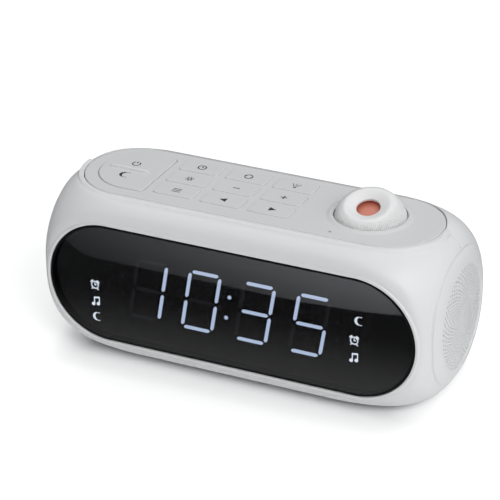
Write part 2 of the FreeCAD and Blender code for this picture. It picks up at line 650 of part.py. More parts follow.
# The grille: rings of small holes, each ring turned by half a step against the last one, so
# that the holes line up in crossing curved rows round a plain middle.
holes = []
long_half, wide_half = size("hole_length") / 2, size("hole_width") / 2
hole_count = int(size("grille_count"))
for ring in range(int(size("grille_rings"))):
    radius = size("grille_first") + ring * size("grille_step")
    for index in range(hole_count):
        angle = 2 * math.pi * (index + 0.5 * (ring % 2)) / hole_count
        outward = V(0, math.cos(angle), math.sin(angle))
        across = V(0, -math.sin(angle), math.cos(angle))
        start = V(grille_face_x - size("grille_thickness") - OVERRUN, size("cap_mid_y"),
                  size("cap_mid_z"))
        middle = start + outward * radius
        corners = [middle + outward * long_half, middle + across * wide_half,
                   middle - outward * long_half, middle - across * wide_half]
        outline = Part.makePolygon(corners + corners[:1])
        holes.append(Part.Face(outline).extrude(V(size("grille_thickness") + 2 * OVERRUN, 0, 0)))
shape_piece("right_side_cap", plain_cap.cut(holes))

# Display lens: a stadium whose front is a shallow barrel curve from top to bottom.
crown = size("lens_crown")
chord = size("lens_radius")
bend_radius = (chord ** 2 + crown ** 2) / (2 * crown)
blank = facing_front(stadium(size("lens_half_straight"), chord, size("lens_edge") + crown),
                     lens_back_y, size("lens_mid_z"))
barrel_curve = cylinder(bend_radius, V(-end, lens_face_y - crown + bend_radius, size("lens_mid_z")),
                        V(1, 0, 0), 2 * end)
shape_piece("display_lens", blank.common(barrel_curve))

# Display: board behind the ledge, black LED block in the window, light bars on its face.
block_face_y = lens_back_y + size("block_recess")
led_block = new_body("display_block", z="Sizes.lens_mid_z")
led_sketch = new_sketch(led_block, "display_block_outline", "XZ_Plane",
                        "Sizes.front_plane - Sizes.front_wall")
draw_stadium(led_sketch, "Sizes.lens_half_straight",
             "Sizes.lens_radius - Sizes.lens_ledge - Sizes.block_gap")
pad(led_block, led_sketch,
    "Sizes.front_wall - Sizes.lens_recess - Sizes.lens_edge - Sizes.block_recess", "display_block_body")
display_board = new_body("display_board", z="Sizes.lens_mid_z")
display_sketch = new_sketch(display_board, "display_board_outline", "XZ_Plane",
                            "Sizes.front_plane - Sizes.front_wall")
draw_stadium(display_sketch, "Sizes.lens_half_straight",
             "Sizes.lens_radius - Sizes.lens_ledge + Sizes.board_lap")
pad(display_board, display_sketch, "Sizes.board_thickness", "display_board_body", True)

SEGMENTS = {"a": "top", "b": "upper right", "c": "lower right", "d": "bottom",
            "e": "lower left", "f": "upper left", "g": "middle"}
SHOWN = ["bc", "abcdef", "abcdg", "acdfg"]


def lean(x, z, centre_x, centre_z):
    """Shift a point of an upright digit sideways so that the digit leans."""
    return V(centre_x + x + z * math.tan(math.radians(size("digit_slant"))), block_face_y, centre_z + z)


def light_bar(name, centre_x, centre_z):
    """One six-sided light bar of a digit."""
    w, h = size("digit_half_width"), size("digit_half_height")
    t, gap = size("bar_width") / 2, size("bar_end_gap")
    if name in "adg":
        z = {"a": h, "d": -h, "g": 0.0}[name]
        tip = w - gap
        points = [(-tip, z), (-tip + t, z + t), (tip - t, z + t),
                  (tip, z), (tip - t, z - t), (-tip + t, z - t)]
    else:
        x = w if name in "bc" else -w
        low, high = (gap, h - gap) if name in "bf" else (-h + gap, -gap)
        points = [(x, low), (x + t, low + t), (x + t, high - t),
                  (x, high), (x - t, high - t), (x - t, low + t)]
    corners = [lean(px, pz, centre_x, centre_z) for px, pz in points]
    return Part.Face(Part.makePolygon(corners + corners[:1])).extrude(V(0, -size("digit_raise"), 0))


def light_dot(x, z, width):
    """A round light dot centred on x, z."""
    return cylinder(width / 2, V(x, block_face_y, z), V(0, -1, 0), size("digit_raise"))


digit_z = size("lens_mid_z") - size("digit_drop")
lit, dark = [], []
for place, shown in enumerate(SHOWN):
    centre_x = size("digit_mid_x") + (place - 1.5) * size("digit_pitch")
    for name in SEGMENTS:
        (lit if name in shown else dark).append(light_bar(name, centre_x, digit_z))
for sign in (-1, 1):
    dot = lean(0, sign * size("colon_rise"), size("digit_mid_x"), digit_z)
    lit.append(light_dot(dot.x, dot.z, size("dot_size")))
shape_piece("digit_bars_lit", Part.makeCompound(lit))
for side in (-1, 1):
    for step in (-1.5, -0.5, 0.5, 1.5):
        dark.append(light_dot(size("digit_mid_x") + side * size("signal_x"),
                              digit_z + step * size("signal_pitch"), size("signal_size")))
shape_piece("digit_bars_unlit", Part.makeCompound(dark))

# Key panel: a stadium plate with nine key windows, the rocker's window, the projector's seat
# with its raised lip, a pinhole, and posts for the key board.
panel = new_body("top_panel", y="Sizes.panel_mid_y",
                 z="Sizes.top_plane - Sizes.panel_recess - Sizes.panel_thickness")
panel_sketch = new_sketch(panel, "panel_outline")
draw_stadium(panel_sketch, "Sizes.panel_half_straight", "Sizes.panel_radius")
pad(panel, panel_sketch, "Sizes.panel_thickness", "panel_plate")
lip_sketch = new_sketch(panel, "lip_outline", offset="Sizes.panel_thickness")
draw_circle(lip_sketch, "Sizes.ball_radius + Sizes.seat_gap + Sizes.lip_width",
            "Sizes.projector_x", "Sizes.projector_y - Sizes.panel_mid_y")
pad(panel, lip_sketch, "Sizes.lip_height", "projector_lip")
round_top(panel, "lip_rounding", "Sizes.lip_edge")
seat_sketch = new_sketch(panel, "seat_outline", offset="Sizes.panel_thickness + Sizes.lip_height")
draw_circle(seat_sketch, "Sizes.ball_radius + Sizes.seat_gap",
            "Sizes.projector_x", "Sizes.projector_y - Sizes.panel_mid_y")
pocket(panel, seat_sketch, "2 * (Sizes.panel_thickness + Sizes.lip_height)", "projector_seat")
sensor_sketch = new_sketch(panel, "pinhole_outline", offset="Sizes.panel_thickness")
draw_circle(sensor_sketch, "Sizes.sensor_radius", "Sizes.sensor_x", "Sizes.sensor_y - Sizes.panel_mid_y")
pocket(panel, sensor_sketch, "Sizes.sensor_depth", "pinhole")
window_sketch = new_sketch(panel, "key_window_outline", offset="Sizes.panel_thickness")
draw_rounded(window_sketch, "Sizes.key_width + 2 * Sizes.key_gap",
             "Sizes.key_depth + 2 * Sizes.key_gap", "Sizes.key_corner + Sizes.key_gap")
window_sketch.setExpression("AttachmentOffset.Base.x", "Sizes.key_mid_x - Sizes.key_pitch_x")
window_sketch.setExpression("AttachmentOffset.Base.y",
                            "Sizes.key_mid_y - Sizes.panel_mid_y - Sizes.key_pitch_y")
first_window = pocket(panel, window_sketch, "2 * Sizes.panel_thickness", "key_window")
grid = panel.newObject("PartDesign::MultiTransform", "key_windows")
grid.Originals = [first_window]
across = doc.addObject("PartDesign::LinearPattern", "windows_across")
across.Direction = (window_sketch, ["H_Axis"])
across.Occurrences = 3
across.setExpression("Length", "2 * Sizes.key_pitch_x")
along = doc.addObject("PartDesign::LinearPattern", "windows_along")
along.Direction = (window_sketch, ["V_Axis"])
along.Occurrences = 3
along.setExpression("Length", "2 * Sizes.key_pitch_y")
panel.addObject(across)
panel.addObject(along)
grid.Transformations = [across, along]
panel.Tip = grid
doc.recompute()
windows_cut = first_window.Shape.Volume - grid.Shape.Volume
if not windows_cut > 0:
    raise RuntimeError("the key windows were not patterned")


def draw_rocker(sketch, grow):
    """A half disc that runs on to a straight right side with two small round corners."""
    radius = "Sizes.snooze_radius + (%s)" % grow
    corner = "Sizes.snooze_edge_radius + (%s)" % grow
    width = "Sizes.snooze_reach + (%s)" % grow
    r, c, right = number(sketch, radius), number(sketch, corner), number(sketch, width)
    top = r
    arc = sketch.addGeometry(Part.ArcOfCircle(Part.Circle(V(0, 0, 0), V(0, 0, 1), r),
                                              math.pi / 2, 1.5 * math.pi))
    low = sketch.addGeometry(Part.LineSegment(V(0, -top), V(right - c, -top)))
    corner_low = sketch.addGeometry(Part.ArcOfCircle(Part.Circle(V(right - c, -top + c, 0), V(0, 0, 1), c),
                                                     -math.pi / 2, 0))
    side = sketch.addGeometry(Part.LineSegment(V(right, -top + c), V(right, top - c)))
    corner_high = sketch.addGeometry(Part.ArcOfCircle(Part.Circle(V(right - c, top - c, 0), V(0, 0, 1), c),
                                                      0, math.pi / 2))
    high = sketch.addGeometry(Part.LineSegment(V(right - c, top), V(0, top)))
    loop = [arc, low, corner_low, side, corner_high, high]
    for one, two in zip(loop, loop[1:] + loop[:1]):
        sketch.addConstraint(Sketcher.Constraint("Tangent", one, 2, two, 1))
    sketch.addConstraint(Sketcher.Constraint("Coincident", arc, 3, -1, 1))
    sketch.addConstraint(Sketcher.Constraint("Vertical", side))
    sketch.addConstraint(Sketcher.Constraint("Horizontal", low))
    sketch.addConstraint(Sketcher.Constraint("Equal", corner_low, corner_high))
    rule(sketch, "Radius", (arc,), radius)
    rule(sketch, "Radius", (corner_low,), corner)
    rule(sketch, "DistanceX", (-1, 1, side, 1), width)


rocker_window = new_sketch(panel, "rocker_window_outline", offset="Sizes.panel_thickness")
draw_rocker(rocker_window, "Sizes.key_gap")
rocker_window.setExpression("AttachmentOffset.Base.x", "Sizes.snooze_mid_x")
pocket(panel, rocker_window, "2 * Sizes.panel_thickness", "rocker_window")
board_top_z = size("key_board_z") + size("board_thickness")
hang = ("Sizes.top_plane - Sizes.panel_recess - Sizes.panel_thickness - Sizes.key_board_z"
        " - Sizes.board_thickness")
hanger_sketch = new_sketch(panel, "hanger_outline")
for hx in ("Sizes.key_mid_x - 1.5 * Sizes.key_pitch_x",
           "Sizes.key_mid_x + 1.5 * Sizes.key_pitch_x + Sizes.hanger_shift"):
    for hy in ("Sizes.key_mid_y - Sizes.panel_mid_y + 0.5 * Sizes.key_pitch_y",
               "Sizes.key_mid_y - Sizes.panel_mid_y - 0.5 * Sizes.key_pitch_y"):
        draw_circle(hanger_sketch, "Sizes.hanger_radius", hx, hy)
pad(panel, hanger_sketch, hang, "board_hangers", True)
doc.recompute()

# Keys: cap, collar under the panel and a stem over the switch.
collar_top_z = panel_under_z - size("key_play")
for row in range(3):
    for column in range(3):
        label = "key_%s_%s" % (("front", "middle", "rear")[row], ("left", "centre", "right")[column])
        key = new_body(label, x="Sizes.key_mid_x + %d * Sizes.key_pitch_x" % (column - 1),
                       y="Sizes.key_mid_y + %d * Sizes.key_pitch_y" % (row - 1),
                       z="Sizes.top_plane - Sizes.panel_recess - Sizes.panel_thickness - Sizes.key_play"
                         " - Sizes.key_collar")
        collar = new_sketch(key, label + "_collar")
        draw_rounded(collar, "Sizes.key_width + 2 * Sizes.key_flange",
                     "Sizes.key_depth + 2 * Sizes.key_flange", "Sizes.key_corner")
        pad(key, collar, "Sizes.key_collar", label + "_collar_plate")
        cap = new_sketch(key, label + "_cap", offset="Sizes.key_collar")
        draw_rounded(cap, "Sizes.key_width", "Sizes.key_depth", "Sizes.key_corner")
        pad(key, cap, "Sizes.key_play + Sizes.panel_thickness + Sizes.key_raise", label + "_cap_body")
        stem = new_sketch(key, label + "_stem")
        draw_circle(stem, "Sizes.stem_radius")
        pad(key, stem, "Sizes.top_plane - Sizes.panel_recess - Sizes.panel_thickness - Sizes.key_play"
            " - Sizes.key_collar - Sizes.key_board_z - Sizes.board_thickness - Sizes.switch_height"
            " - Sizes.plunger_height - Sizes.key_travel - Sizes.press_gap", label + "_stem_body", True)
        round_top(key, label + "_edge", "Sizes.key_edge")

# Snooze rocker: the half-round key at the left, with a raised rib for the finger, rocking to
# the front or to the rear on a crest that the key board carries.
rocker_collar_z = panel_under_z - size("snooze_collar_drop") - size("key_collar")
rocker = new_body("snooze_rocker", x="Sizes.snooze_mid_x", y="Sizes.panel_mid_y",
                  z="Sizes.top_plane - Sizes.panel_recess - Sizes.panel_thickness"
                    " - Sizes.snooze_collar_drop - Sizes.key_collar")
rocker_collar = new_sketch(rocker, "rocker_collar")
draw_rocker(rocker_collar, "Sizes.key_flange")
pad(rocker, rocker_collar, "Sizes.key_collar", "rocker_collar_plate")
rocker_cap = new_sketch(rocker, "rocker_cap", offset="Sizes.key_collar")
draw_rocker(rocker_cap, "0")
pad(rocker, rocker_cap, "Sizes.snooze_collar_drop + Sizes.panel_thickness + Sizes.key_raise",
    "rocker_cap_body")
round_top(rocker, "rocker_edge", "Sizes.key_edge")
rib_sketch = new_sketch(rocker, "rib_outline", offset="Sizes.key_collar + Sizes.snooze_collar_drop"
                        " + Sizes.panel_thickness + Sizes.key_raise")
draw_stadium(rib_sketch, "(Sizes.rib_length - Sizes.rib_width) / 2", "Sizes.rib_width / 2")
rib_sketch.setExpression("AttachmentOffset.Base.x", "Sizes.rib_x - Sizes.snooze_mid_x")
pad(rocker, rib_sketch, "Sizes.rib_height", "rib_body")
feet_sketch = new_sketch(rocker, "rocker_stems")
for sign in ("", "-"):
    draw_circle(feet_sketch, "Sizes.stem_radius", "Sizes.rib_x - Sizes.snooze_mid_x",
                sign + "Sizes.rocker_switch_y")
pad(rocker, feet_sketch, "Sizes.top_plane - Sizes.panel_recess - Sizes.panel_thickness"
    " - Sizes.snooze_collar_drop - Sizes.key_collar - Sizes.key_board_z - Sizes.board_thickness"
    " - Sizes.switch_height - Sizes.plunger_height - Sizes.key_travel - Sizes.press_gap",
    "rocker_stem_bodies", True)
groove_sketch = new_sketch(rocker, "fulcrum_groove", "YZ_Plane",
                           "Sizes.rib_x - Sizes.snooze_mid_x + Sizes.fulcrum_length / 2 + Sizes.fulcrum_gap")
draw_circle(groove_sketch, "Sizes.fulcrum_radius + Sizes.fulcrum_gap")
pocket(rocker, groove_sketch, "Sizes.fulcrum_length + 2 * Sizes.fulcrum_gap", "fulcrum_groove_cut")

# Key board with its switches and the rocker's crest.
key_board = doc.addObject("Part::Box", "key_board")
key_board.Label = "key_board"
key_board.setExpression("Length", "Sizes.key_mid_x + 1.5 * Sizes.key_pitch_x + Sizes.hanger_shift"
                        " + Sizes.board_beyond - Sizes.rib_x + Sizes.fulcrum_length / 2 + Sizes.board_margin")
key_board.setExpression("Width", "2 * Sizes.key_pitch_y + Sizes.key_depth - 2 * Sizes.board_inset")
key_board.setExpression("Height", "Sizes.board_thickness")
key_board.setExpression(".Placement.Base.x", "Sizes.rib_x - Sizes.fulcrum_length / 2 - Sizes.board_margin")
key_board.setExpression(".Placement.Base.y", "Sizes.key_mid_y - Sizes.key_pitch_y - Sizes.key_depth / 2"
                        " + Sizes.board_inset")
key_board.setExpression(".Placement.Base.z", "Sizes.key_board_z")
switch_spots = [(size("key_mid_x") + c * size("key_pitch_x"), size("key_mid_y") + r * size("key_pitch_y"))
                for r in (-1, 0, 1) for c in (-1, 0, 1)]
switch_spots += [(size("rib_x"), size("panel_mid_y") + s * size("rocker_switch_y")) for s in (-1, 1)]
switches = []
half_side = size("switch_side") / 2
switch_top_z = board_top_z + size("switch_height")
for x, y in switch_spots:
    case = block(x - half_side, x + half_side, y - half_side, y + half_side, board_top_z, switch_top_z)
    plunger = cylinder(size("plunger_radius"), V(x, y, switch_top_z), V(0, 0, 1), size("plunger_height"))
    switches.append(case.fuse(plunger))
shape_piece("key_switches", Part.makeCompound(switches))
crest_start = size("rib_x") - size("fulcrum_length") / 2
crest_r = size("fulcrum_radius")
crest = block(crest_start, crest_start + size("fulcrum_length"), size("panel_mid_y") - crest_r,
              size("panel_mid_y") + crest_r, board_top_z, rocker_collar_z)
crest = crest.fuse(cylinder(crest_r, V(crest_start, size("panel_mid_y"), rocker_collar_z), V(1, 0, 0),
                            size("fulcrum_length"))).removeSplitter()
shape_piece("rocker_fulcrum", crest)

# Projector. The ball leans forward by its stored tilt about X; everything in it is turned on
# the leaning axis through the ball's centre.
ball_centre = V(size("projector_x"), size("projector_y"), size("ball_z"))
tilt = math.radians(size("ball_tilt"))
beam = V(0, -math.sin(tilt), math.cos(tilt))
ball_r = size("ball_radius")


def sphere_radius(height, radius):
    """Radius of the slice of a sphere at a height from its centre."""
    return math.sqrt(radius ** 2 - height ** 2)


def ball_arc(low, high, steps):
    """Points on the ball's outline between two heights."""
    start, stop = math.asin(low / ball_r), math.asin(high / ball_r)
    return [(ball_r * math.cos(start + (stop - start) * i / steps),
             ball_r * math.sin(start + (stop - start) * i / steps)) for i in range(steps + 1)]


shoulder = size("ring_bottom") - size("ring_gap")
bore = size("barrel_radius") + size("barrel_gap")
film_seat = size("film_height")
floor = -size("ball_bottom")
outline_edges = []
sphere_low = V(sphere_radius(floor, ball_r), 0, floor)
sphere_high = V(sphere_radius(shoulder, ball_r), 0, shoulder)
outline_edges.append(Part.Arc(sphere_low, V(ball_r, 0, 0), sphere_high).toShape())
inside = [sphere_high, V(size("neck_radius"), 0, shoulder), V(size("neck_radius"), 0, size("neck_height")),
          V(bore, 0, size("neck_height")), V(bore, 0, film_seat), V(0, 0, film_seat), V(0, 0, floor),
          sphere_low]
outline_edges += [Part.makeLine(a, b) for a, b in zip(inside, inside[1:])]
ball_solid = Part.Face(Part.Wire(outline_edges)).revolve(V(0, 0, 0), V(0, 0, 1), 360)
ball_solid.Placement = FreeCAD.Placement(ball_centre, FreeCAD.Rotation(V(0, 0, 1), beam))
lamp_bore = cylinder(size("lamp_radius"), ball_centre + beam * (floor - OVERRUN), beam,
                     film_seat - floor + OVERRUN)
pins = [cylinder(size("pivot_radius"), ball_centre + V(s * (ball_r - 2 * OVERRUN), 0, 0), V(s, 0, 0),
                 size("pivot_reach") + 2 * OVERRUN) for s in (-1, 1)]
shape_piece("projector_ball", ball_solid.fuse(pins).cut(lamp_bore))

# Focus ring: sphere-shaped flank cut by grooves, dished smooth face round the aperture.
ring_low = size("ring_bottom")
face_r, face_h = size("ring_face_radius"), size("ring_face_height")
flank_top = face_h - size("ring_shoulder")
flank = ball_arc(ring_low, flank_top, 3) + [(face_r, face_h)]
inner_side = [(size("aperture_radius"), size("aperture_height")),
              (size("aperture_radius"), size("aperture_height") - size("aperture_depth")),
              (size("neck_radius") + size("neck_gap"), size("aperture_height") - size("aperture_depth")),
              (size("neck_radius") + size("neck_gap"), ring_low)]
ring_full = turned(flank + inner_side, V(0, 0, 0), V(0, 0, 1))
depth = size("groove_depth")
scale_in = (ball_r - depth) / ball_r
core_flank = [(r * scale_in, h * scale_in) for r, h in flank]
core_flank[0] = (core_flank[0][0], ring_low - OVERRUN)
core_flank[-1] = (face_r, face_h)
core = turned(core_flank + [(0.0, face_h), (0.0, ring_low - OVERRUN)], V(0, 0, 0), V(0, 0, 1))
blades = []
for index in range(int(size("rib_count"))):
    blade = block(face_r - OVERRUN, ball_r + OVERRUN, -size("groove_width") / 2, size("groove_width") / 2,
                  ring_low - OVERRUN, face_h + OVERRUN)
    blade.rotate(V(0, 0, 0), V(0, 0, 1), 360.0 * index / size("rib_count"))
    blades.append(blade.cut(core))
ring_shape = ring_full.cut(blades)
ring_shape.Placement = FreeCAD.Placement(ball_centre, FreeCAD.Rotation(V(0, 0, 1), beam))
shape_piece("focus_ring", ring_shape)

# Lens barrel, its lens, and the film and lamp under it.
barrel_low = size("barrel_bottom")
barrel_top = barrel_low + size("barrel_height")
glass_r, glass_edge = size("glass_radius"), size("glass_edge")
barrel_outline = [(size("barrel_radius"), barrel_low), (size("barrel_radius"), barrel_top),
                  (glass_r, barrel_top), (glass_r, barrel_top - glass_edge),
                  (size("barrel_bore"), barrel_top - glass_edge), (size("barrel_bore"), barrel_low)]
shape_piece("lens_barrel", turned(barrel_outline, ball_centre, beam))
bulge = size("glass_crown")
dome_r = (glass_r ** 2 + bulge ** 2) / (2 * bulge)
glass = cylinder(glass_r, V(0, 0, barrel_top - glass_edge), V(0, 0, 1), glass_edge + bulge)
glass = glass.common(Part.makeSphere(dome_r, V(0, 0, barrel_top + bulge - dome_r)))
glass.Placement = FreeCAD.Placement(ball_centre, FreeCAD.Rotation(V(0, 0, 1), beam))
shape_piece("projector_lens", glass)
film_half = size("film_side") / 2
film = block(-film_half, film_half, -film_half, film_half, film_seat, film_seat + size("film_thickness"))
film.Placement = FreeCAD.Placement(ball_centre, FreeCAD.Rotation(V(0, 0, 1), beam))
shape_piece("projector_film", film)
lamp = cylinder(size("lamp_radius"), V(0, 0, floor), V(0, 0, 1), film_seat - floor)
lamp.Placement = FreeCAD.Placement(ball_centre, FreeCAD.Rotation(V(0, 0, 1), beam))
shape_piece("projector_lamp", lamp)

# Cradle: a ring plate under the key panel with two bearing ears, open at the top so that the
# pivot pins drop in before the panel closes them.
ear_start = ball_r + size("ear_gap")
ear_end = ear_start + size("ear_thickness")
plate_top = panel_under_z
cradle = cylinder(ear_end, V(size("projector_x"), size("projector_y"), plate_top - size("cradle_thickness")),
                  V(0, 0, 1), size("cradle_thickness"))
for sign in (-1, 1):
    near, far = sorted((sign * ear_start, sign * (ear_end - size("ear_inset"))))
    ear = block(size("projector_x") + near, size("projector_x") + far,
                size("projector_y") - size("ear_half_width"), size("projector_y") + size("ear_half_width"),
                size("ball_z") - size("ear_drop"), plate_top)
    cradle = cradle.fuse(ear)
clear_r = ball_r + size("seat_gap")
cradle = cradle.cut(cylinder(clear_r, V(size("projector_x"), size("projector_y"), 0), V(0, 0, 1), 2 * room))
bearing_r = size("pivot_radius") + size("pivot_gap")
bearing = cylinder(bearing_r, ball_centre - V(2 * ball_r, 0, 0), V(1, 0, 0), 4 * ball_r)
slot = block(size("projector_x") - 2 * ball_r, size("projector_x") + 2 * ball_r,
             size("projector_y") - bearing_r, size("projector_y") + bearing_r, size("ball_z"),
             plate_top + OVERRUN)
shape_piece("projector_cradle", cradle.cut([bearing, slot]))

# Speaker behind the grille.
speaker_front_x = grille_face_x - size("grille_thickness")
speaker_centre = V(speaker_front_x, size("cap_mid_y"), size("cap_mid_z"))
inward = V(-1, 0, 0)
depth_s = size("speaker_depth")
rim_t = size("speaker_rim")
cone_r, voice_r = size("cone_radius"), size("voice_radius")
frame_outline = [(cone_r, 0), (size("speaker_radius"), 0), (size("speaker_radius"), rim_t),
                 (cone_r + rim_t, rim_t), (size("magnet_radius"), depth_s), (voice_r, depth_s),
                 (voice_r, depth_s - rim_t), (cone_r, rim_t)]
shape_piece("speaker_frame", turned(frame_outline, speaker_centre, inward))
cone_rim = cone_r - size("cone_gap")
cone_floor = depth_s - rim_t - size("cone_play")
cone_outline = [(cone_rim, size("cone_edge")), (cone_rim, rim_t), (voice_r, cone_floor), (0, cone_floor),
                (0, cone_floor - size("cone_wall")), (voice_r, cone_floor - size("cone_wall"))]
shape_piece("speaker_cone", turned(cone_outline, speaker_centre, inward))
magnet = cylinder(size("magnet_radius"), speaker_centre + inward * depth_s, inward, size("magnet_depth"))
shape_piece("speaker_magnet", magnet)

# Main board on its posts, and the power inlet at its rear edge.
main_board = doc.addObject("Part::Box", "main_board")
main_board.Label = "main_board"
main_board.setExpression("Length", "Sizes.board_length")
main_board.setExpression("Width", "Sizes.board_depth")
main_board.setExpression("Height", "Sizes.board_thickness")
main_board.setExpression(".Placement.Base.x", "Sizes.board_x - Sizes.board_length / 2")
main_board.setExpression(".Placement.Base.y", "Sizes.board_front")
main_board.setExpression(".Placement.Base.z", "Sizes.board_z")
jack_front_y = rear_inside - size("jack_depth")
jack_mouth_y = size("rear_plane") - size("jack_recess")
jack = block(jack_x - size("jack_width") / 2, jack_x + size("jack_width") / 2, jack_front_y,
             rear_inside, jack_z - size("jack_height") / 2, jack_z + size("jack_height") / 2)
jack = jack.fuse(cylinder(size("jack_nose"), V(jack_x, rear_inside, jack_z), V(0, 1, 0),
                          jack_mouth_y - rear_inside))
socket_floor = V(jack_x, jack_mouth_y - size("jack_bore_depth"), jack_z)
socket = cylinder(size("jack_bore"), socket_floor, V(0, 1, 0), room)
pin = cylinder(size("jack_pin"), socket_floor, V(0, 1, 0), size("jack_bore_depth") - size("jack_pin_drop"))
shape_piece("power_inlet", jack.cut(socket).fuse(pin))

# Backup cell in its holder behind the battery door.
holder_y = rear_inside - size("holder_depth")
holder = block(size("door_x") - size("door_length") / 2, size("door_x") + size("door_length") / 2,
               holder_y, rear_inside, size("door_z") - size("door_height") / 2,
               size("door_z") + size("door_height") / 2)
cell_y = door_y - size("cell_gap") - size("cell_thickness")
cell_bay = cylinder(size("cell_radius") + size("cell_gap"), V(size("door_x"), cell_y, size("door_z")),
                    V(0, 1, 0), room)
peg_floor_y = door_y - size("peg_length") - size("peg_room")
holder_pegs = [cylinder(size("peg_radius") + size("peg_gap"), V(x, peg_floor_y, z), V(0, 1, 0), room)
               for x, z in peg_spots]
shape_piece("cell_holder", holder.cut([cell_bay] + holder_pegs))
shape_piece("backup_cell", cylinder(size("cell_radius"), V(size("door_x"), cell_y, size("door_z")),
                                    V(0, 1, 0), size("cell_thickness")))
door = facing_rear(rounded_plate(size("door_length"), size("door_height"), size("door_corner"),
                                 size("door_thickness")), size("door_x"), door_y, size("door_z"))
door_pegs = [cylinder(size("peg_radius"), V(x, door_y - size("peg_length"), z), V(0, 1, 0),
                      size("peg_length")) for x, z in peg_spots]
door_notch = cylinder(size("notch_radius") - size("door_notch_inset"),
                      V(size("door_x"), door_y + size("door_notch_floor"), notch_z), V(0, 1, 0), room)
shape_piece("battery_door", door.fuse(door_pegs).cut(door_notch))

# Screws and feet.
screws = []
long_arm, short_arm = size("cross_length") / 2, size("cross_width") / 2
cross_floor_y = head_y + size("screw_head_height") - size("cross_depth")
for x, z in screw_spots:
    thread = cylinder(size("screw_radius"), V(x, thread_end, z), V(0, 1, 0), size("screw_length"))
    head = cylinder(size("screw_head"), V(x, head_y, z), V(0, 1, 0), size("screw_head_height"))
    cross = [block(x - long_arm, x + long_arm, cross_floor_y, room, z - short_arm, z + short_arm),
             block(x - short_arm, x + short_arm, cross_floor_y, room, z - long_arm, z + long_arm)]
    screws.append(thread.fuse(head).cut(cross))
shape_piece("housing_screws", Part.makeCompound(screws))
feet = [cylinder(size("foot_radius"), V(x, y, 0), V(0, 0, 1), size("foot_height")) for x, y in foot_spots]
shape_piece("rubber_feet", Part.makeCompound(feet))

doc.recompute()

NODES = ["front_housing", "rear_housing", "left_side_cap", "right_side_cap", "display_lens",
         "display_block", "display_board", "digit_bars_lit", "digit_bars_unlit", "top_panel",
         "snooze_rocker", "key_board", "key_switches", "rocker_fulcrum", "projector_ball",
         "focus_ring", "lens_barrel", "projector_lens", "projector_film", "projector_lamp",
         "projector_cradle", "speaker_frame", "speaker_cone", "speaker_magnet", "main_board",
         "power_inlet", "cell_holder", "backup_cell", "battery_door", "housing_screws", "rubber_feet"]
NODES += ["key_%s_%s" % (row, column) for row in ("front", "middle", "rear")
          for column in ("left", "centre", "right")]

for item in doc.Objects:
    if "Invalid" in item.State or "Error" in item.State:
        raise RuntimeError("%s failed: %s" % (item.Label, item.State))
pieces = {}
for node in NODES:
    piece = doc.getObjectsByLabel(node)[0]
    shape = piece.Shape
    if shape.isNull() or not shape.isValid():
        raise RuntimeError("%s has no valid shape" % node)
    pieces[node] = shape

os.makedirs("parts", exist_ok=True)
for node, shape in pieces.items():
    shape.exportStep("parts/%s.step" % node)
print("%d pieces written" % len(pieces))
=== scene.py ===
import math
import bmesh
import bpy
import numpy as np
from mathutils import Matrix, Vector
from mathutils.geometry import tessellate_polygon


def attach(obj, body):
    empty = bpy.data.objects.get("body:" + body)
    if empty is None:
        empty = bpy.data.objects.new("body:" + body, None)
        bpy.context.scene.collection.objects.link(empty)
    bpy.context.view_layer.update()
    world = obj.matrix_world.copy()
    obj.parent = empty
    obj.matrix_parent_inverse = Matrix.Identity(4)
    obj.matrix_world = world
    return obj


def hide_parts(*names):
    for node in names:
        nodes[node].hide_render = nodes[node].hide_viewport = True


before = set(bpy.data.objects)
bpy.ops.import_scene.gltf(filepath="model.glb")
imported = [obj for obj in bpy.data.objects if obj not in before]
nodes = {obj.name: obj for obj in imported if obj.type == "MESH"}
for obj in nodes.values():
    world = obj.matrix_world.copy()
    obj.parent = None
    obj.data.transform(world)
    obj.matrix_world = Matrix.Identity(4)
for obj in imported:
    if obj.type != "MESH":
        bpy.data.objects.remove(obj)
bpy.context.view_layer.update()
MM = 0.001

# Sizes in millimetres; those of the solids are the same as in the part's source
BODY_HALF, BODY_CORNER = 39.7, 24.3
BODY_MID_Y, BODY_MID_Z = -2.1, 38.3
STRAIGHT, TAPER, TAPER_POWER = 44.63, 48.8, 4.54
END_ROUNDNESS, END_RISE_Y, END_DROP_Z = 0.95, 2.15, 0.7
END_X, SEAM_DIP = 90.2, 0.3
FRONT, REAR, TOP, BOTTOM, SEAM_Y = 35.6, 35.6, 75.3, 1.0, 2.0
LENS_HALF, LENS_R, LENS_Z, LENS_GAP = 57.33, 27.67, 36.69, 0.15
LENS_FACE_Y, LENS_BACK_Y, LENS_CROWN = -34.9, -31.8, 0.55
PANEL_HALF, PANEL_R, PANEL_Y, PANEL_GAP = 58.64, 23.79, -0.25, 0.25
PANEL_TOP, PANEL_UNDER, RIM_DROP = 74.9, 72.3, 0.45
KEY_TOP_Z, KEY_HALF_X, KEY_HALF_Y, KEY_CORNER, KEY_SLIT = 75.27, 9.405, 5.0, 1.3, 0.1
KEY_X, KEY_Y, KEY_PITCH_X, KEY_PITCH_Y = -12.68, 1.4, 22.33, 12.46
BALL = np.array([49.41, 1.75, 70.75])
BALL_R, BALL_TILT = 15.93, math.radians(17.8)
ROCKER_X, ROCKER_R, ROCKER_REACH, ROCKER_CORNER = -58.64, 17.6, 10.29, 2.0
ROCKER_SLIT, RIB_X, RIB_HALF, RIB_R = 0.27, -63.3, 8.45, 0.92
PINHOLE, PINHOLE_R = (39.7, -19.46), 0.8
CAP_Y, CAP_Z, CAP_RIM_X = -0.42, 37.6, 92.35
GRILLE_R, GRILLE_TOP, GRILLE_DROP = 22.85, 94.0, 2.1


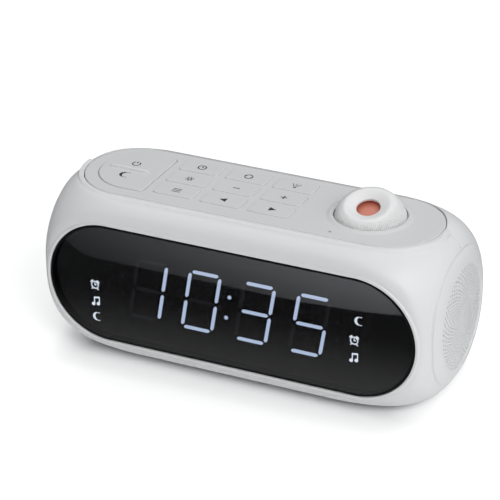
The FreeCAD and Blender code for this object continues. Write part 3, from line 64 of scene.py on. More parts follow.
# Mesh helpers
def make_piece(name, points, faces, material, body="case"):
    """One mesh from points in millimetres and a list of face arrays; merged, smooth, riding on a body."""
    mesh = bpy.data.meshes.new(name)
    loops = np.concatenate([f.ravel() for f in faces]).astype(np.int32)
    counts = np.concatenate([np.full(len(f), f.shape[1]) for f in faces])
    starts = np.concatenate([[0], np.cumsum(counts)[:-1]]).astype(np.int32)
    mesh.vertices.add(len(points))
    mesh.vertices.foreach_set("co", (np.asarray(points) * MM).astype(np.float32).ravel())
    mesh.loops.add(len(loops))
    mesh.loops.foreach_set("vertex_index", loops)
    mesh.polygons.add(len(counts))
    mesh.polygons.foreach_set("loop_start", starts)
    mesh.update(calc_edges=True)
    mesh.validate()
    piece = bpy.data.objects.new(name, mesh)
    bpy.context.scene.collection.objects.link(piece)
    piece.data.materials.append(material)
    tidy_mesh(mesh)
    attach(piece, body)
    return piece


def tidy_mesh(mesh, merge=0.004, sharp=38.0):
    """Merge the doubled points of joined patches, drop empty faces and mark hard edges."""
    work = bmesh.new()
    work.from_mesh(mesh)
    bmesh.ops.remove_doubles(work, verts=work.verts, dist=merge * MM)
    bmesh.ops.dissolve_degenerate(work, edges=work.edges, dist=0.0005 * MM)
    bmesh.ops.recalc_face_normals(work, faces=work.faces)
    work.to_mesh(mesh)
    work.free()
    mesh.shade_smooth()
    mesh.set_sharp_from_angle(angle=math.radians(sharp))


def face_centres(mesh):
    """Middles of a mesh's faces in millimetres."""
    centre = np.zeros(len(mesh.polygons) * 3)
    mesh.polygons.foreach_get("center", centre)
    return centre.reshape(-1, 3) / MM


def grid_faces(rows, columns, closed=False, start=0):
    """Quads of a grid whose points are stored row by row; closed joins the last column to the first."""
    r = np.arange(rows - 1)[:, None]
    c = np.arange(columns if closed else columns - 1)[None, :]
    after = (c + 1) % columns
    a, b = r * columns + c, r * columns + after
    return (np.stack([a, b, b + columns, a + columns], -1).reshape(-1, 4) + start).astype(np.int64)


class Patches:
    """Collects several grids into one list of points and faces."""

    def __init__(self):
        self.points, self.faces, self.count = [], [], 0

    def add(self, grid, closed=False, flip=False):
        """Add a grid of points, row by row, and its quads; flip turns them over."""
        rows, columns = grid.shape[:2]
        quads = grid_faces(rows, columns, closed, self.count)
        self.points.append(grid.reshape(-1, 3))
        self.faces.append(quads[:, ::-1] if flip else quads)
        self.count += rows * columns

    def raw(self, points, *faces):
        """Add loose points and the arrays of faces between them."""
        self.points.append(points)
        for part in faces:
            self.faces.append(part + self.count)
        self.count += len(points)

    def piece(self, name, material, body="case"):
        """Make one mesh of everything added so far."""
        return make_piece(name, np.concatenate(self.points), self.faces, material, body)


# Node groups
def new_group(name, inputs, outputs):
    """An empty shader node group whose inputs (name, default) and outputs each carry one number."""
    group = bpy.data.node_groups.new(name, "ShaderNodeTree")
    for label, default in inputs:
        socket = group.interface.new_socket(label, in_out="INPUT", socket_type="NodeSocketFloat")
        socket.default_value = default
    for label in outputs:
        group.interface.new_socket(label, in_out="OUTPUT", socket_type="NodeSocketFloat")
    return group


def node(tree, kind, links=(), **settings):
    """Add a node, set its properties and sockets, and link its inputs."""
    made = tree.nodes.new(kind)
    for key, value in settings.items():
        if key.startswith("in_"):
            index = int(key[3:]) if key[3:].isdigit() else key[3:].replace("_", " ")
            made.inputs[index].default_value = value
        else:
            setattr(made, key, value)
    for socket, source in links:
        tree.links.new(source, made.inputs[socket])
    return made


def maths(tree, operation, first, second):
    """One arithmetic node; the second value is a socket or a plain number."""
    if isinstance(second, float):
        return node(tree, "ShaderNodeMath", [(0, first)], operation=operation, in_1=second).outputs[0]
    return node(tree, "ShaderNodeMath", [(0, first), (1, second)], operation=operation).outputs[0]


def ramp(tree, source, start, stop, low, high, **settings):
    """A value that goes from low to high while the source goes from start to stop."""
    return node(tree, "ShaderNodeMapRange", [("Value", source)], in_1=start, in_2=stop, in_3=low, in_4=high,
                **settings).outputs[0]


def build_grain_group():
    """Moulded grain: two noises of different size give a height, and a slow noise shifts tone and gloss."""
    group = new_group("moulded_grain", [("Grain size", 4000.0), ("Tone", 0.02), ("Gloss", 0.05)],
                      ["Height", "Tone", "Gloss"])
    start, end = group.nodes.new("NodeGroupInput"), group.nodes.new("NodeGroupOutput")
    place = node(group, "ShaderNodeTexCoord").outputs["Object"]
    fine = node(group, "ShaderNodeTexNoise", [("Vector", place), ("Scale", start.outputs[0])],
                in_Detail=2.0, in_Roughness=0.6)
    coarse = node(group, "ShaderNodeTexNoise", [("Vector", place)], in_Scale=900.0, in_Detail=3.0)
    slow = node(group, "ShaderNodeTexNoise", [("Vector", place)], in_Scale=28.0, in_Detail=4.0)
    height = node(group, "ShaderNodeMix", [("A", fine.outputs[0]), ("B", coarse.outputs[0])], in_Factor=0.35)
    centred = maths(group, "SUBTRACT", slow.outputs[0], 0.5)
    tone = maths(group, "ADD", maths(group, "MULTIPLY", centred, start.outputs[1]), 1.0)
    gloss = maths(group, "MULTIPLY", centred, start.outputs[2])
    for socket, source in zip(end.inputs, (height.outputs[0], tone, gloss)):
        group.links.new(source, socket)
    return group


GRAIN = build_grain_group()
FLAT_EDGE, FULL_EDGE = 0.99, 0.88


def plastic(name, colour, roughness, grain_size=4200.0, bump=0.06, tone=0.03, gloss=0.08, round_edge=0.0,
            specular=0.5, painted_edge_highlight=0.0):
    """Moulded plastic: a base colour shifted a little by the grain group, fine bump, and optional soft edges.
    With a painted edge highlight they are paler where the softened face turns away from the flat one."""
    material = bpy.data.materials.new(name)
    material.use_nodes = True
    tree = material.node_tree
    shader = tree.nodes["Principled BSDF"]
    grain = node(tree, "ShaderNodeGroup", node_tree=GRAIN, in_Grain_size=grain_size, in_Tone=tone,
                 in_Gloss=gloss)
    tint = node(tree, "ShaderNodeMix", data_type="RGBA", blend_type="MULTIPLY", in_Factor=1.0)
    tint.inputs[6].default_value = (*colour, 1.0)
    tree.links.new(grain.outputs["Tone"], tint.inputs[7])
    colour_out = tint.outputs[2]
    tree.links.new(maths(tree, "ADD", grain.outputs["Gloss"], roughness), shader.inputs["Roughness"])
    lift = node(tree, "ShaderNodeBump", [("Height", grain.outputs["Height"])], in_Strength=bump)
    lift.inputs["Distance"].default_value = 0.00005
    if round_edge:
        soft = node(tree, "ShaderNodeBevel", samples=6)
        soft.inputs["Radius"].default_value = round_edge * MM
        tree.links.new(soft.outputs[0], lift.inputs["Normal"])
        # Painted highlight: the colour is raised where the bevel normal turns away from the true normal, so
        # rounded edges look lit.
        flat = node(tree, "ShaderNodeNewGeometry").outputs["True Normal"]
        agree = node(tree, "ShaderNodeVectorMath", [(0, soft.outputs[0]), (1, flat)], operation="DOT_PRODUCT")
        pale = ramp(tree, agree.outputs["Value"], FLAT_EDGE, FULL_EDGE, 1.0, 1.0 + painted_edge_highlight)
        paler = node(tree, "ShaderNodeVectorMath", [(0, colour_out), (1, pale)], operation="MULTIPLY")
        colour_out = paler.outputs[0]
    tree.links.new(colour_out, shader.inputs["Base Color"])
    tree.links.new(lift.outputs[0], shader.inputs["Normal"])
    shader.inputs["Specular IOR Level"].default_value = specular
    return material


WHITE_SHELL = plastic("white_shell", (0.71, 0.715, 0.725), 0.42, tone=0.03)
WHITE_CAD = plastic("white_shell_soft", (0.71, 0.715, 0.725), 0.42, round_edge=0.5)
GREY_PANEL = plastic("grey_panel", (0.632, 0.635, 0.642), 0.48)
# The keys carry a painted highlight on their rounded edges.
KEY_CAP = plastic("key_cap", (0.635, 0.638, 0.645), 0.42, round_edge=0.38, painted_edge_highlight=0.35)
BLACK_PLASTIC = plastic("black_plastic", (0.012, 0.012, 0.013), 0.45, bump=0.08)
BORDER = plastic("lens_border", (0.002, 0.002, 0.002), 0.5, bump=0.0, specular=0.15)
RING_WHITE = plastic("focus_ring_white", (0.765, 0.765, 0.77), 0.38)
DISPLAY_BLACK = plastic("display_black", (0.003, 0.003, 0.0035), 0.6, bump=0.02, specular=0.05)
INK = plastic("print_ink", (0.02, 0.02, 0.022), 0.6, bump=0.02)
RUBBER = plastic("foot_rubber", (0.03, 0.03, 0.03), 0.75, bump=0.15)
BOARD = plastic("circuit_board", (0.03, 0.13, 0.06), 0.4)
PAPER = plastic("speaker_paper", (0.05, 0.05, 0.052), 0.85, bump=0.3)
MAGNET = plastic("magnet", (0.10, 0.10, 0.11), 0.5)


def metal(name, colour, roughness):
    """Plain metal with fine brushed wear from the grain group."""
    material = plastic(name, colour, roughness, grain_size=2500.0, bump=0.05, gloss=0.12)
    material.node_tree.nodes["Principled BSDF"].inputs["Metallic"].default_value = 1.0
    return material


STEEL = metal("steel", (0.62, 0.62, 0.63), 0.3)


def smoked_glass():
    """Clear dark plastic: tinted transmission under a glossy skin, with faint polish marks."""
    material = plastic("smoked_lens", (0.15, 0.156, 0.166), 0.02, bump=0.0, tone=0.0, gloss=0.01)
    shader = material.node_tree.nodes["Principled BSDF"]
    shader.inputs["Transmission Weight"].default_value = 1.0
    shader.inputs["IOR"].default_value = 1.46
    return material


def glowing(name, colour, strength, stripes=0.0, base=(0.02, 0.02, 0.02), stripe_scale=900.0):
    """Lit plastic: emission, with fine slanted stripes of the light guide across it."""
    material = plastic(name, base, 0.4)
    tree = material.node_tree
    shader = tree.nodes["Principled BSDF"]
    shader.inputs["Emission Strength"].default_value = strength
    place = node(tree, "ShaderNodeTexCoord").outputs["Object"]
    wave = node(tree, "ShaderNodeTexWave", [("Vector", place)], wave_type="BANDS", bands_direction="DIAGONAL",
                in_Scale=stripe_scale, in_Distortion=0.4)
    mixed = node(tree, "ShaderNodeMix", [("Factor", wave.outputs[1])], data_type="RGBA")
    mixed.inputs[6].default_value = (*[c * (1.0 - stripes) for c in colour], 1.0)
    mixed.inputs[7].default_value = (*colour, 1.0)
    tree.links.new(mixed.outputs[2], shader.inputs["Emission Color"])
    return material


SMOKED = smoked_glass()
LIT = glowing("lit_bars", (0.68, 0.79, 1.0), 5.0, stripes=0.3)
# The unlit bars glow faintly: partly leakage of the display's own light, partly painted light standing in for
# light that reaches them through the smoked lens.
UNLIT = glowing("unlit_bars", (0.5, 0.5, 0.56), 0.08, base=(0.004, 0.004, 0.004))
# Painted light: the projector's glass, barrel and film glow red themselves, standing in for the red light of
# its lamp that falls on and through them.
RED_LENS = glowing("projector_glass", (0.72, 0.22, 0.15), 0.2, stripes=0.35, base=(0.45, 0.16, 0.11))
BARREL_RED = glowing("barrel_red", (0.55, 0.12, 0.08), 0.16, base=(0.42, 0.11, 0.08))
RED_FILM = glowing("red_film", (0.8, 0.1, 0.06), 0.5, base=(0.5, 0.04, 0.03))
RED_LAMP = glowing("red_lamp", (1.0, 0.1, 0.05), 1.0, base=(0.5, 0.04, 0.03))
ICON_WHITE = glowing("icon_white", (0.80, 0.84, 0.9), 6.0, base=(0.3, 0.3, 0.3))

FINISH = {
    "front_housing": WHITE_CAD, "rear_housing": WHITE_CAD, "left_side_cap": WHITE_CAD,
    "right_side_cap": WHITE_CAD, "display_lens": SMOKED, "display_block": DISPLAY_BLACK,
    "display_board": BOARD, "digit_bars_lit": LIT, "digit_bars_unlit": UNLIT, "top_panel": GREY_PANEL,
    "snooze_rocker": KEY_CAP, "key_board": BOARD,
    "key_switches": BLACK_PLASTIC, "rocker_fulcrum": BLACK_PLASTIC, "projector_ball": RING_WHITE,
    "focus_ring": RING_WHITE, "lens_barrel": BARREL_RED, "projector_lens": RED_LENS,
    "projector_film": RED_FILM, "projector_lamp": RED_LAMP, "projector_cradle": BLACK_PLASTIC,
    "speaker_frame": BLACK_PLASTIC, "speaker_cone": PAPER, "speaker_magnet": MAGNET, "main_board": BOARD,
    "power_inlet": BLACK_PLASTIC, "cell_holder": BLACK_PLASTIC, "backup_cell": STEEL,
    "battery_door": WHITE_CAD, "housing_screws": STEEL, "rubber_feet": RUBBER,
}
for label, cad in nodes.items():
    finish = KEY_CAP if label.startswith("key_") and label not in FINISH else FINISH[label]
    cad.data.materials.clear()
    cad.data.materials.append(finish)


# The housing's skin
DIP_INWARD, DIP_OUTWARD = 2.2, 0.9


def body_form(x):
    """Half size, corner radius and centre of the rounded square section at x; a superellipse taper."""
    reach = np.maximum(0.0, (np.abs(x) - STRAIGHT) / TAPER)
    half = BODY_HALF * (1.0 - reach ** TAPER_POWER) ** (1.0 / TAPER_POWER)
    past = np.abs(x) - END_X
    away = np.where(past < 0.0, -past / DIP_INWARD, past / DIP_OUTWARD)
    half = half - SEAM_DIP * np.clip(1.0 - away, 0.0, 1.0) ** 2
    start = BODY_CORNER / BODY_HALF
    corner = half * (start + (END_ROUNDNESS - start) * reach ** 2)
    return half, corner, BODY_MID_Y + END_RISE_Y * reach ** 2, BODY_MID_Z - END_DROP_Z * reach ** 2


def bulge(offset, half, corner):
    """Height of the rounded square over its centre at a sideways offset: flat, then a circle."""
    flat = half - corner
    over = np.clip(np.abs(offset) - flat, 0.0, corner)
    return flat + np.sqrt(np.maximum(corner ** 2 - over ** 2, 0.0))


def soft_limit(value, limit, blend):
    """The value itself below the limit, the limit above it, and a parabola between them."""
    over = value - limit
    curve = over - (over + blend) ** 2 / (4.0 * blend)
    return limit + np.where(over < -blend, over, np.where(over > blend, 0.0, curve))


FRONT_LIP, TOP_LIP = 0.45, 0.8
FRONT_SKIN, TOP_SKIN = FRONT - FRONT_LIP, TOP - TOP_LIP
FRONT_BLEND, TOP_BLEND, REAR_BLEND, BOTTOM_BLEND = 2.4, 1.0, 0.5, 0.8


def trim(points):
    """Limit the skin by the front, rear, top and bottom flats with soft transitions."""
    x, y, z = points[..., 0], points[..., 1], points[..., 2]
    y = -soft_limit(-y, FRONT_SKIN, FRONT_BLEND)
    y = soft_limit(y, REAR, REAR_BLEND)
    z = soft_limit(z, TOP_SKIN, TOP_BLEND)
    z = -soft_limit(-z, -BOTTOM, BOTTOM_BLEND)
    return np.stack([x, y, z], -1)


def diagonal(x):
    """Half distance between the section's corner middles: where front, top, rear and bottom meet."""
    half, corner, mid_y, mid_z = body_form(x)
    return half - corner + corner * math.sqrt(0.5), mid_y, mid_z


def front_skin(x, z):
    """Skin over the front at x, z."""
    half, corner, mid_y, mid_z = body_form(x)
    return trim(np.stack([x, mid_y - bulge(z - mid_z, half, corner), z], -1))


def top_skin(x, y, side=1.0):
    """Skin over the top at x, y, or under the bottom with side -1."""
    half, corner, mid_y, mid_z = body_form(x)
    return trim(np.stack([x, y, mid_z + side * bulge(y - mid_y, half, corner)], -1))


def smooth_step(value, low, high):
    """0 below low, 1 above high, and a smooth cubic between."""
    t = np.clip((value - low) / (high - low), 0.0, 1.0)
    return t * t * (3.0 - 2.0 * t)


BREAK, SEAM_RUN, FLANGE = 0.25, 0.3, 3.2
EDGE_X = END_X - BREAK
STATIONS = np.linspace(-EDGE_X, EDGE_X, 241)
SIDE_ROWS = 61
# Width of a lip's flat and of its slope
LENS_LIP, PANEL_LIP = (1.1, 0.5), (2.1, 0.6)
LIP_WALL, LENS_LIP_EDGE, PANEL_LIP_EDGE = 2.6, 0.35, 0.45
DROP_START, DROP_END = 0.5, 9.0


def lip_rows(length, lip, drop, count):
    """Distances from a hole's edge outwards: close rows over the lip, then wider rows to the far side. Each
    close row takes at most another 8 % of the length."""
    near = [0.3, 0.6, lip, lip + 0.33 * drop, lip + 0.67 * drop, lip + drop]
    rows = [np.minimum(distance, length * (0.08 * (i + 1))) for i, distance in enumerate(near)]
    far = (np.arange(1, count + 1) / count)[:, None] ** 1.15
    return np.concatenate([np.array(rows), rows[-1] + (length - rows[-1]) * far])


def quarter_round(edge):
    """Falls and insets of a rounded edge, from its wall up to its flat."""
    return [(edge * (1 - math.cos(t)), edge * (1 - math.sin(t)))
            for t in np.radians([90.0, 67.5, 45.0, 22.5, 0.0])]


def seam_break(y):
    """How far the skin turns in where it comes near the seam."""
    return BREAK * np.clip(1.0 - (SEAM_Y - y) / SEAM_RUN, 0.0, 1.0) ** 2


def ring_skin(inner, outer, skin, lip, drop, axis, level, edge):
    """A skin between a hole and an outline. Straight lines join them; the first rows go down the hole's
    wall and over its rounded edge, the next form a raised lip at the level, the rest lie on the skin."""
    span = outer - inner
    length = np.linalg.norm(span, axis=-1)
    along = span / length[:, None]
    distance = lip_rows(length, lip, drop, 16)
    flat = inner[None] + along[None] * distance[..., None]
    shape = skin(flat[..., 0], flat[..., 1])
    blend = 1.0 - smooth_step(distance, lip, lip + drop)
    shape[..., axis] += (level - shape[..., axis]) * blend
    rows = []
    sign = np.sign(np.mean(level))
    for depth, inset in [(LIP_WALL, 0.0)] + quarter_round(edge):
        place = inner + along * inset
        row = skin(place[:, 0], place[:, 1])
        row[:, axis] = level - sign * depth
        rows.append(row)
    keep = distance > edge
    shape[~keep] = np.broadcast_to(rows[-1], shape.shape)[~keep]
    return np.concatenate([np.array(rows), shape])


def shell_front():
    """Front shell up to the seam: a ring round the lens, half a ring round the panel, the underside,
    and a rounded edge with an inward flange at both ends."""
    patches = Patches()
    q, mid_y, mid_z = diagonal(STATIONS)
    end_q, end_mid_y, end_mid_z = (float(v) for v in diagonal(np.array(EDGE_X)))
    # ring round the lens, clockwise seen from the front
    side_z = np.linspace(end_mid_z + end_q, end_mid_z - end_q, SIDE_ROWS)
    side_x = np.full(SIDE_ROWS - 2, EDGE_X)
    outline = np.concatenate([
        np.stack([STATIONS, mid_z + q], -1), np.stack([side_x, side_z[1:-1]], -1),
        np.stack([STATIONS[::-1], (mid_z - q)[::-1]], -1), np.stack([-side_x, side_z[-2:0:-1]], -1)])
    centre = np.stack([np.clip(outline[:, 0], -LENS_HALF, LENS_HALF), np.full(len(outline), LENS_Z)], -1)
    ray = outline - centre
    ray /= np.linalg.norm(ray, axis=-1)[:, None]
    hole = centre + ray * (LENS_R + LENS_GAP)
    patches.add(ring_skin(hole, outline, front_skin, *LENS_LIP, 1, -FRONT, LENS_LIP_EDGE), closed=True)
    # half ring round the panel, with close rows at the seam
    low_y = end_mid_y - end_q
    seam_y = SEAM_Y - SEAM_RUN * np.array([0.0, 0.4, 1.0])
    side_y = np.concatenate([seam_y, np.linspace(SEAM_Y - 0.8, low_y, 34)])
    right = np.stack([np.full(len(side_y), EDGE_X), side_y], -1)
    left = right[::-1] * [-1.0, 1.0]
    outline = np.concatenate([right[:-1], np.stack([STATIONS[::-1], (mid_y - q)[::-1]], -1), left[1:]])
    radius = PANEL_R + PANEL_GAP
    seam_in = math.asin((SEAM_Y - PANEL_Y) / radius)
    seam_out = math.atan2(SEAM_Y - PANEL_Y, EDGE_X - PANEL_HALF)
    over = np.abs(outline[:, 0]) > PANEL_HALF
    angle = np.arctan2(outline[:, 1] - PANEL_Y, np.abs(outline[:, 0]) - PANEL_HALF)
    angle = angle + (seam_in - seam_out) * (angle + math.pi / 2) / (seam_out + math.pi / 2)
    round_x = np.sign(outline[:, 0]) * (PANEL_HALF + radius * np.cos(angle))
    hole = np.stack([np.where(over, round_x, outline[:, 0]),
                     np.where(over, PANEL_Y + radius * np.sin(angle), PANEL_Y - radius)], -1)
    level = TOP - RIM_DROP * smooth_step(SEAM_Y - hole[:, 1], DROP_START, DROP_END)
    ring = ring_skin(hole, outline, top_skin, *PANEL_LIP, 2, level, PANEL_LIP_EDGE)
    ring[..., 2] -= seam_break(ring[..., 1])
    patches.add(ring, flip=True)
    # underside
    part = np.concatenate([np.linspace(0.0, 0.93, 16), [0.985, 0.993, 1.0]])[:, None]
    x = np.broadcast_to(STATIONS, (len(part), len(STATIONS)))
    y = (mid_y - q)[None] * (1.0 - part) + SEAM_Y * part
    floor = top_skin(x, y, -1.0)
    floor[..., 2] += seam_break(floor[..., 1])
    patches.add(floor, flip=True)
    # ends
    half = float(body_form(np.array(EDGE_X))[0])
    middle = np.array([0.0, end_mid_y, end_mid_z])
    under_y = floor[:, -1, 1]
    top_line = top_skin(np.full(len(side_y), EDGE_X), side_y)
    front_line = front_skin(np.full(SIDE_ROWS, EDGE_X), side_z)
    under_line = top_skin(np.full(len(under_y), EDGE_X), under_y, -1.0)
    for side in (1.0, -1.0):
        loop = np.concatenate([top_line, front_line[1:], under_line[1:]])
        loop[:, 0] *= side
        rows = []
        for turn, extra in [(0, 0), (30, 0), (60, 0), (90, 0), (90, FLANGE)]:
            t = math.radians(turn)
            shrink = 1.0 - (BREAK * (1 - math.cos(t)) + extra) / half
            row = middle + (loop - middle) * [0.0, shrink, shrink]
            row[:, 1] = np.where(loop[:, 1] > SEAM_Y - 0.01, SEAM_Y, row[:, 1])
            row[:, 0] = side * (EDGE_X + BREAK * math.sin(t))
            rows.append(row)
        patches.add(np.array(rows), flip=side > 0)
    return patches.piece("shell_front", WHITE_SHELL)


def stadium_rim(half, centre, count=48, along=60):
    """Inward centres and outward directions round a stadium of two half circles."""
    run = np.linspace(-half, half, along)
    turn = np.linspace(-math.pi / 2, math.pi / 2, count)
    right = np.stack([np.cos(turn), np.sin(turn)], -1)
    rays = np.concatenate([np.tile([0.0, -1.0], (along, 1)), right[1:-1], np.tile([0.0, 1.0], (along, 1)),
                           right[::-1][1:-1] * [-1.0, 1.0]])
    core = np.concatenate([run, np.full(count - 2, half), run[::-1], np.full(count - 2, -half)])
    return np.stack([core, np.full(len(core), centre)], -1), rays


LENS_EDGE, LENS_BORDER = 0.5, 1.15


def lens():
    """Smoked lens: a shallow barrel curve from top to bottom over a stadium, with a rounded edge, a thin
    black border inside the edge, a side wall and a flat back."""
    core, rays = stadium_rim(LENS_HALF, LENS_Z)
    bend = (LENS_R ** 2 + LENS_CROWN ** 2) / (2 * LENS_CROWN)

    def face(plane):
        rise = bend - np.sqrt(bend ** 2 - (plane[:, 1] - LENS_Z) ** 2)
        return np.column_stack([plane[:, 0], LENS_FACE_Y - LENS_CROWN + rise, plane[:, 1]])

    rows = [face(core + rays * LENS_R * f) for f in np.linspace(0.0, 0.9, 10)]
    rows += [face(core + rays * (LENS_R - inset))
             for inset in (LENS_BORDER + 0.6, LENS_BORDER + 0.02, LENS_BORDER, LENS_EDGE)]
    edge_y = rows[-1][:, 1]
    for turn in np.radians([25.0, 50.0, 75.0, 90.0]):
        row = face(core + rays * (LENS_R - LENS_EDGE + LENS_EDGE * math.sin(turn)))
        row[:, 1] = edge_y + LENS_EDGE * (1 - math.cos(turn))
        rows.append(row)
    for f in (1.0, 0.6, 0.0):
        back = core + rays * LENS_R * f
        rows.append(np.column_stack([back[:, 0], np.full(len(back), LENS_BACK_Y), back[:, 1]]))
    patches = Patches()
    patches.add(np.array(rows), closed=True, flip=True)
    piece = patches.piece("lens", SMOKED)
    piece.data.materials.append(BORDER)
    centre = face_centres(piece.data)
    core_x = np.clip(centre[:, 0], -LENS_HALF, LENS_HALF)
    reach = np.hypot(centre[:, 0] - core_x, centre[:, 2] - LENS_Z)
    dark = (reach > LENS_R - LENS_BORDER) & (centre[:, 1] < LENS_BACK_Y - 0.01)
    piece.data.polygons.foreach_set("material_index", dark.astype(np.int32))
    return piece


# Growth of the outline and height, from the rib's foot to its top
RIB_PROFILE = [(-0.08, 75.2), (0.0, 75.28), (0.0, 75.5), (-0.05, 75.68), (-0.17, 75.84), (-0.34, 75.94),
               (-0.6, 75.99), (-RIB_R, 76.0)]


def rocker_rib():
    """Raised bar on the rocker: a long stadium whose rows climb a rounded side to a gently domed top."""
    ends = [(RIB_X + RIB_HALF, PANEL_Y, RIB_R, -90.0, 90.0), (RIB_X - RIB_HALF, PANEL_Y, RIB_R, 90.0, 270.0)]
    rows = np.array([grown(ends, grow, 14, height) for grow, height in RIB_PROFILE])
    patches = Patches()
    patches.add(rows, closed=True)
    # The bar takes the paler focus-ring white instead of the key plastic: a painted highlight that makes it
    # read as lit.
    return patches.piece("rocker_rib", RING_WHITE, "rocker")


def tilted(radius_height, angles):
    """Points of a turned outline (radius, height) about the beam axis through the ball's centre."""
    r, h = radius_height[..., 0], radius_height[..., 1]
    x = r * np.cos(angles)
    y = r * np.sin(angles)
    c, s = math.cos(BALL_TILT), math.sin(BALL_TILT)
    return np.stack([BALL[0] + x, BALL[1] + y * c - h * s, BALL[2] + y * s + h * c], -1)


RIB_COUNT, RIB_POINTS = 96, 10
GROOVE_SHARE, GROOVE_POWER, GROOVE_DEPTH, GROOVE_R = 0.44, 0.6, 0.5, 10.0
RING_FOOT, RING_SHOULDER, RING_SEAT, RING_SEAT_R = 3.3, 9.45, 8.55, 10.06
FOOT_INSET, FOOT_RISE = 0.25, 0.12
# Radius and height of the ring's face, from its shoulder over the rim and the dish into the aperture
RING_FACE = [(12.25, 10.02), (11.6, 10.47), (10.9, 10.83), (10.35, 11.04), (9.86, 11.15), (9.35, 11.13),
             (8.7, 10.98), (7.6, 10.55), (6.5, 10.05), (5.6, 9.68), (5.3, 9.56), (5.16, 9.42), (5.11, 9.2),
             (5.11, RING_SEAT), (RING_SEAT_R, RING_SEAT)]


def focus_ring():
    """Focus ring: the flank follows the ball and is cut by 96 rounded grooves that fade out at the top and
    bottom; the face is dished with a rounded rim and goes down into the aperture."""
    angles = np.linspace(0.0, 2 * math.pi, RIB_COUNT * RIB_POINTS, endpoint=False)
    low, high = math.asin(RING_FOOT / BALL_R), math.asin(RING_SHOULDER / BALL_R)
    outline = [(RING_SEAT_R, RING_FOOT), (BALL_R * math.cos(low) - FOOT_INSET, RING_FOOT)]
    outline += [(BALL_R * math.cos(t), BALL_R * math.sin(t)) for t in np.linspace(low, high, 12)]
    outline = np.array(outline + RING_FACE)
    outline[2, 1] += FOOT_RISE
    grid = np.repeat(outline[:, None], len(angles), 1)
    phase = (angles * RIB_COUNT / (2 * math.pi)) % 1.0
    groove = np.clip(1.0 - np.abs(phase - 0.5) * 2.0 / GROOVE_SHARE, 0.0, 1.0) ** GROOVE_POWER
    height = outline[:, 1]
    fade = smooth_step(height, 3.45, 4.1) * (1.0 - smooth_step(height, 10.6, 11.0))
    fade[:2] = 0.0
    fade[outline[:, 0] < GROOVE_R] = 0.0
    grid[..., 0] -= GROOVE_DEPTH * fade[:, None] * groove[None]
    points = tilted(grid, np.broadcast_to(angles, grid.shape[:2]))
    patches = Patches()
    patches.add(np.concatenate([points, points[:1]]), closed=True)
    return patches.piece("ribbed_ring", RING_WHITE, "ring")


def section_outline(half, corner, mid_y, mid_z, count=40):
    """Points round a rounded square: four corner arcs joined by straight sides."""
    flat = half - corner
    turn = np.linspace(0.0, math.pi / 2, count)
    arcs = []
    for i, (sy, sz) in enumerate(((1, 1), (-1, 1), (-1, -1), (1, -1))):
        t = turn + i * math.pi / 2
        across, up = mid_y + sy * flat + corner * np.cos(t), mid_z + sz * flat + corner * np.sin(t)
        arcs.append(np.stack([across, up], -1))
    return np.concatenate(arcs)


def grille_x(radius):
    """The convex round field: a parabola over the radius, highest in the middle."""
    return GRILLE_TOP - GRILLE_DROP * (radius / GRILLE_R) ** 2


CAP_GAP, CAP_FLANGE, CAP_BREAK_PART = 0.05, 2.5, 0.11
# Insets and rises over the cap's rim, down its inner wall, and up the edge of the round field
CAP_RIM = ((0.45, 0.1), (0.25, 0.13), (0.1, 0.09), (0.02, 0.0), (0.0, -0.12))
FIELD_EDGE = ((0.03, 0.12), (0.15, 0.03), (0.4, 0.0))
FIELD_R = GRILLE_R - 0.4
BADGE_R, BADGE_RISE = 6.4, 0.16


def side_cap(side, name):
    """Side cap: it carries the housing's taper on to a round rim, and has a convex round field sunk behind
    that rim; the right one has rings of holes, each ring turned by half a step, round a plain middle."""
    def outline(x, inset):
        half, corner, mid_y, mid_z = (float(v) for v in body_form(np.array(x)))
        return section_outline(half - inset, (half - inset) * corner / half, mid_y, mid_z)

    base = END_X + CAP_GAP
    rows = [(base, outline(END_X, BREAK + CAP_FLANGE))]
    near = [0.0, 0.02, 0.04, 0.07, CAP_BREAK_PART]
    for p in np.concatenate([near, np.linspace(0.17, 0.89, 9), [0.95, 1.0]]):
        x = base + (CAP_RIM_X - base) * p
        rows.append((x, outline(x, BREAK * max(0.0, 1.0 - p / CAP_BREAK_PART) ** 2)))
    ray = rows[-1][1] - [CAP_Y, CAP_Z]
    ray /= np.linalg.norm(ray, axis=-1)[:, None]

    def circle(radius):
        return np.array([CAP_Y, CAP_Z]) + ray * radius

    for inset, rise in CAP_RIM:
        rows.append((CAP_RIM_X + rise, circle(GRILLE_R + inset)))
    for inset, rise in FIELD_EDGE:
        rows.append((grille_x(GRILLE_R - inset) + rise, circle(GRILLE_R - inset)))
    grid = np.array([np.column_stack([np.full(len(r), side * x), r]) for x, r in rows])
    patches = Patches()
    patches.add(grid, closed=True, flip=side < 0)
    if side < 0:
        core = [np.column_stack([np.full(len(ray), side * grille_x(FIELD_R * f)), circle(FIELD_R * f)])
                for f in (1.0, 0.85, 0.7, 0.55, 0.4, 0.25, 0.1, 0.0)]
        patches.add(np.array(core), closed=True, flip=True)
    else:
        add_grille(patches)
    piece = patches.piece(name, WHITE_SHELL)
    if side > 0:
        centre = face_centres(piece.data)
        piece.data.materials.append(GREY_PANEL)
        reach = np.hypot(centre[:, 1] - CAP_Y, centre[:, 2] - CAP_Z)
        badge = (reach < BADGE_R - 0.05) & (centre[:, 0] > grille_x(BADGE_R))
        piece.data.polygons.foreach_set("material_index", badge.astype(np.int32))
    return piece


HOLE_RINGS, HOLE_COUNT, HOLE_FIRST, HOLE_STEP, HOLE_PLAIN = 12, 56, 7.3, 1.28, 0.75
HOLE_INNER = HOLE_FIRST - HOLE_PLAIN
HOLE_OUTER = HOLE_FIRST + HOLE_STEP * (HOLE_RINGS - 1) + HOLE_PLAIN
# Half sizes of a hole as parts of a cell, the largest half width, and the depth
HOLE_WIDE, HOLE_LONG, HOLE_WIDEST, HOLE_DEPTH = 0.29, 0.38, 0.5, 0.8


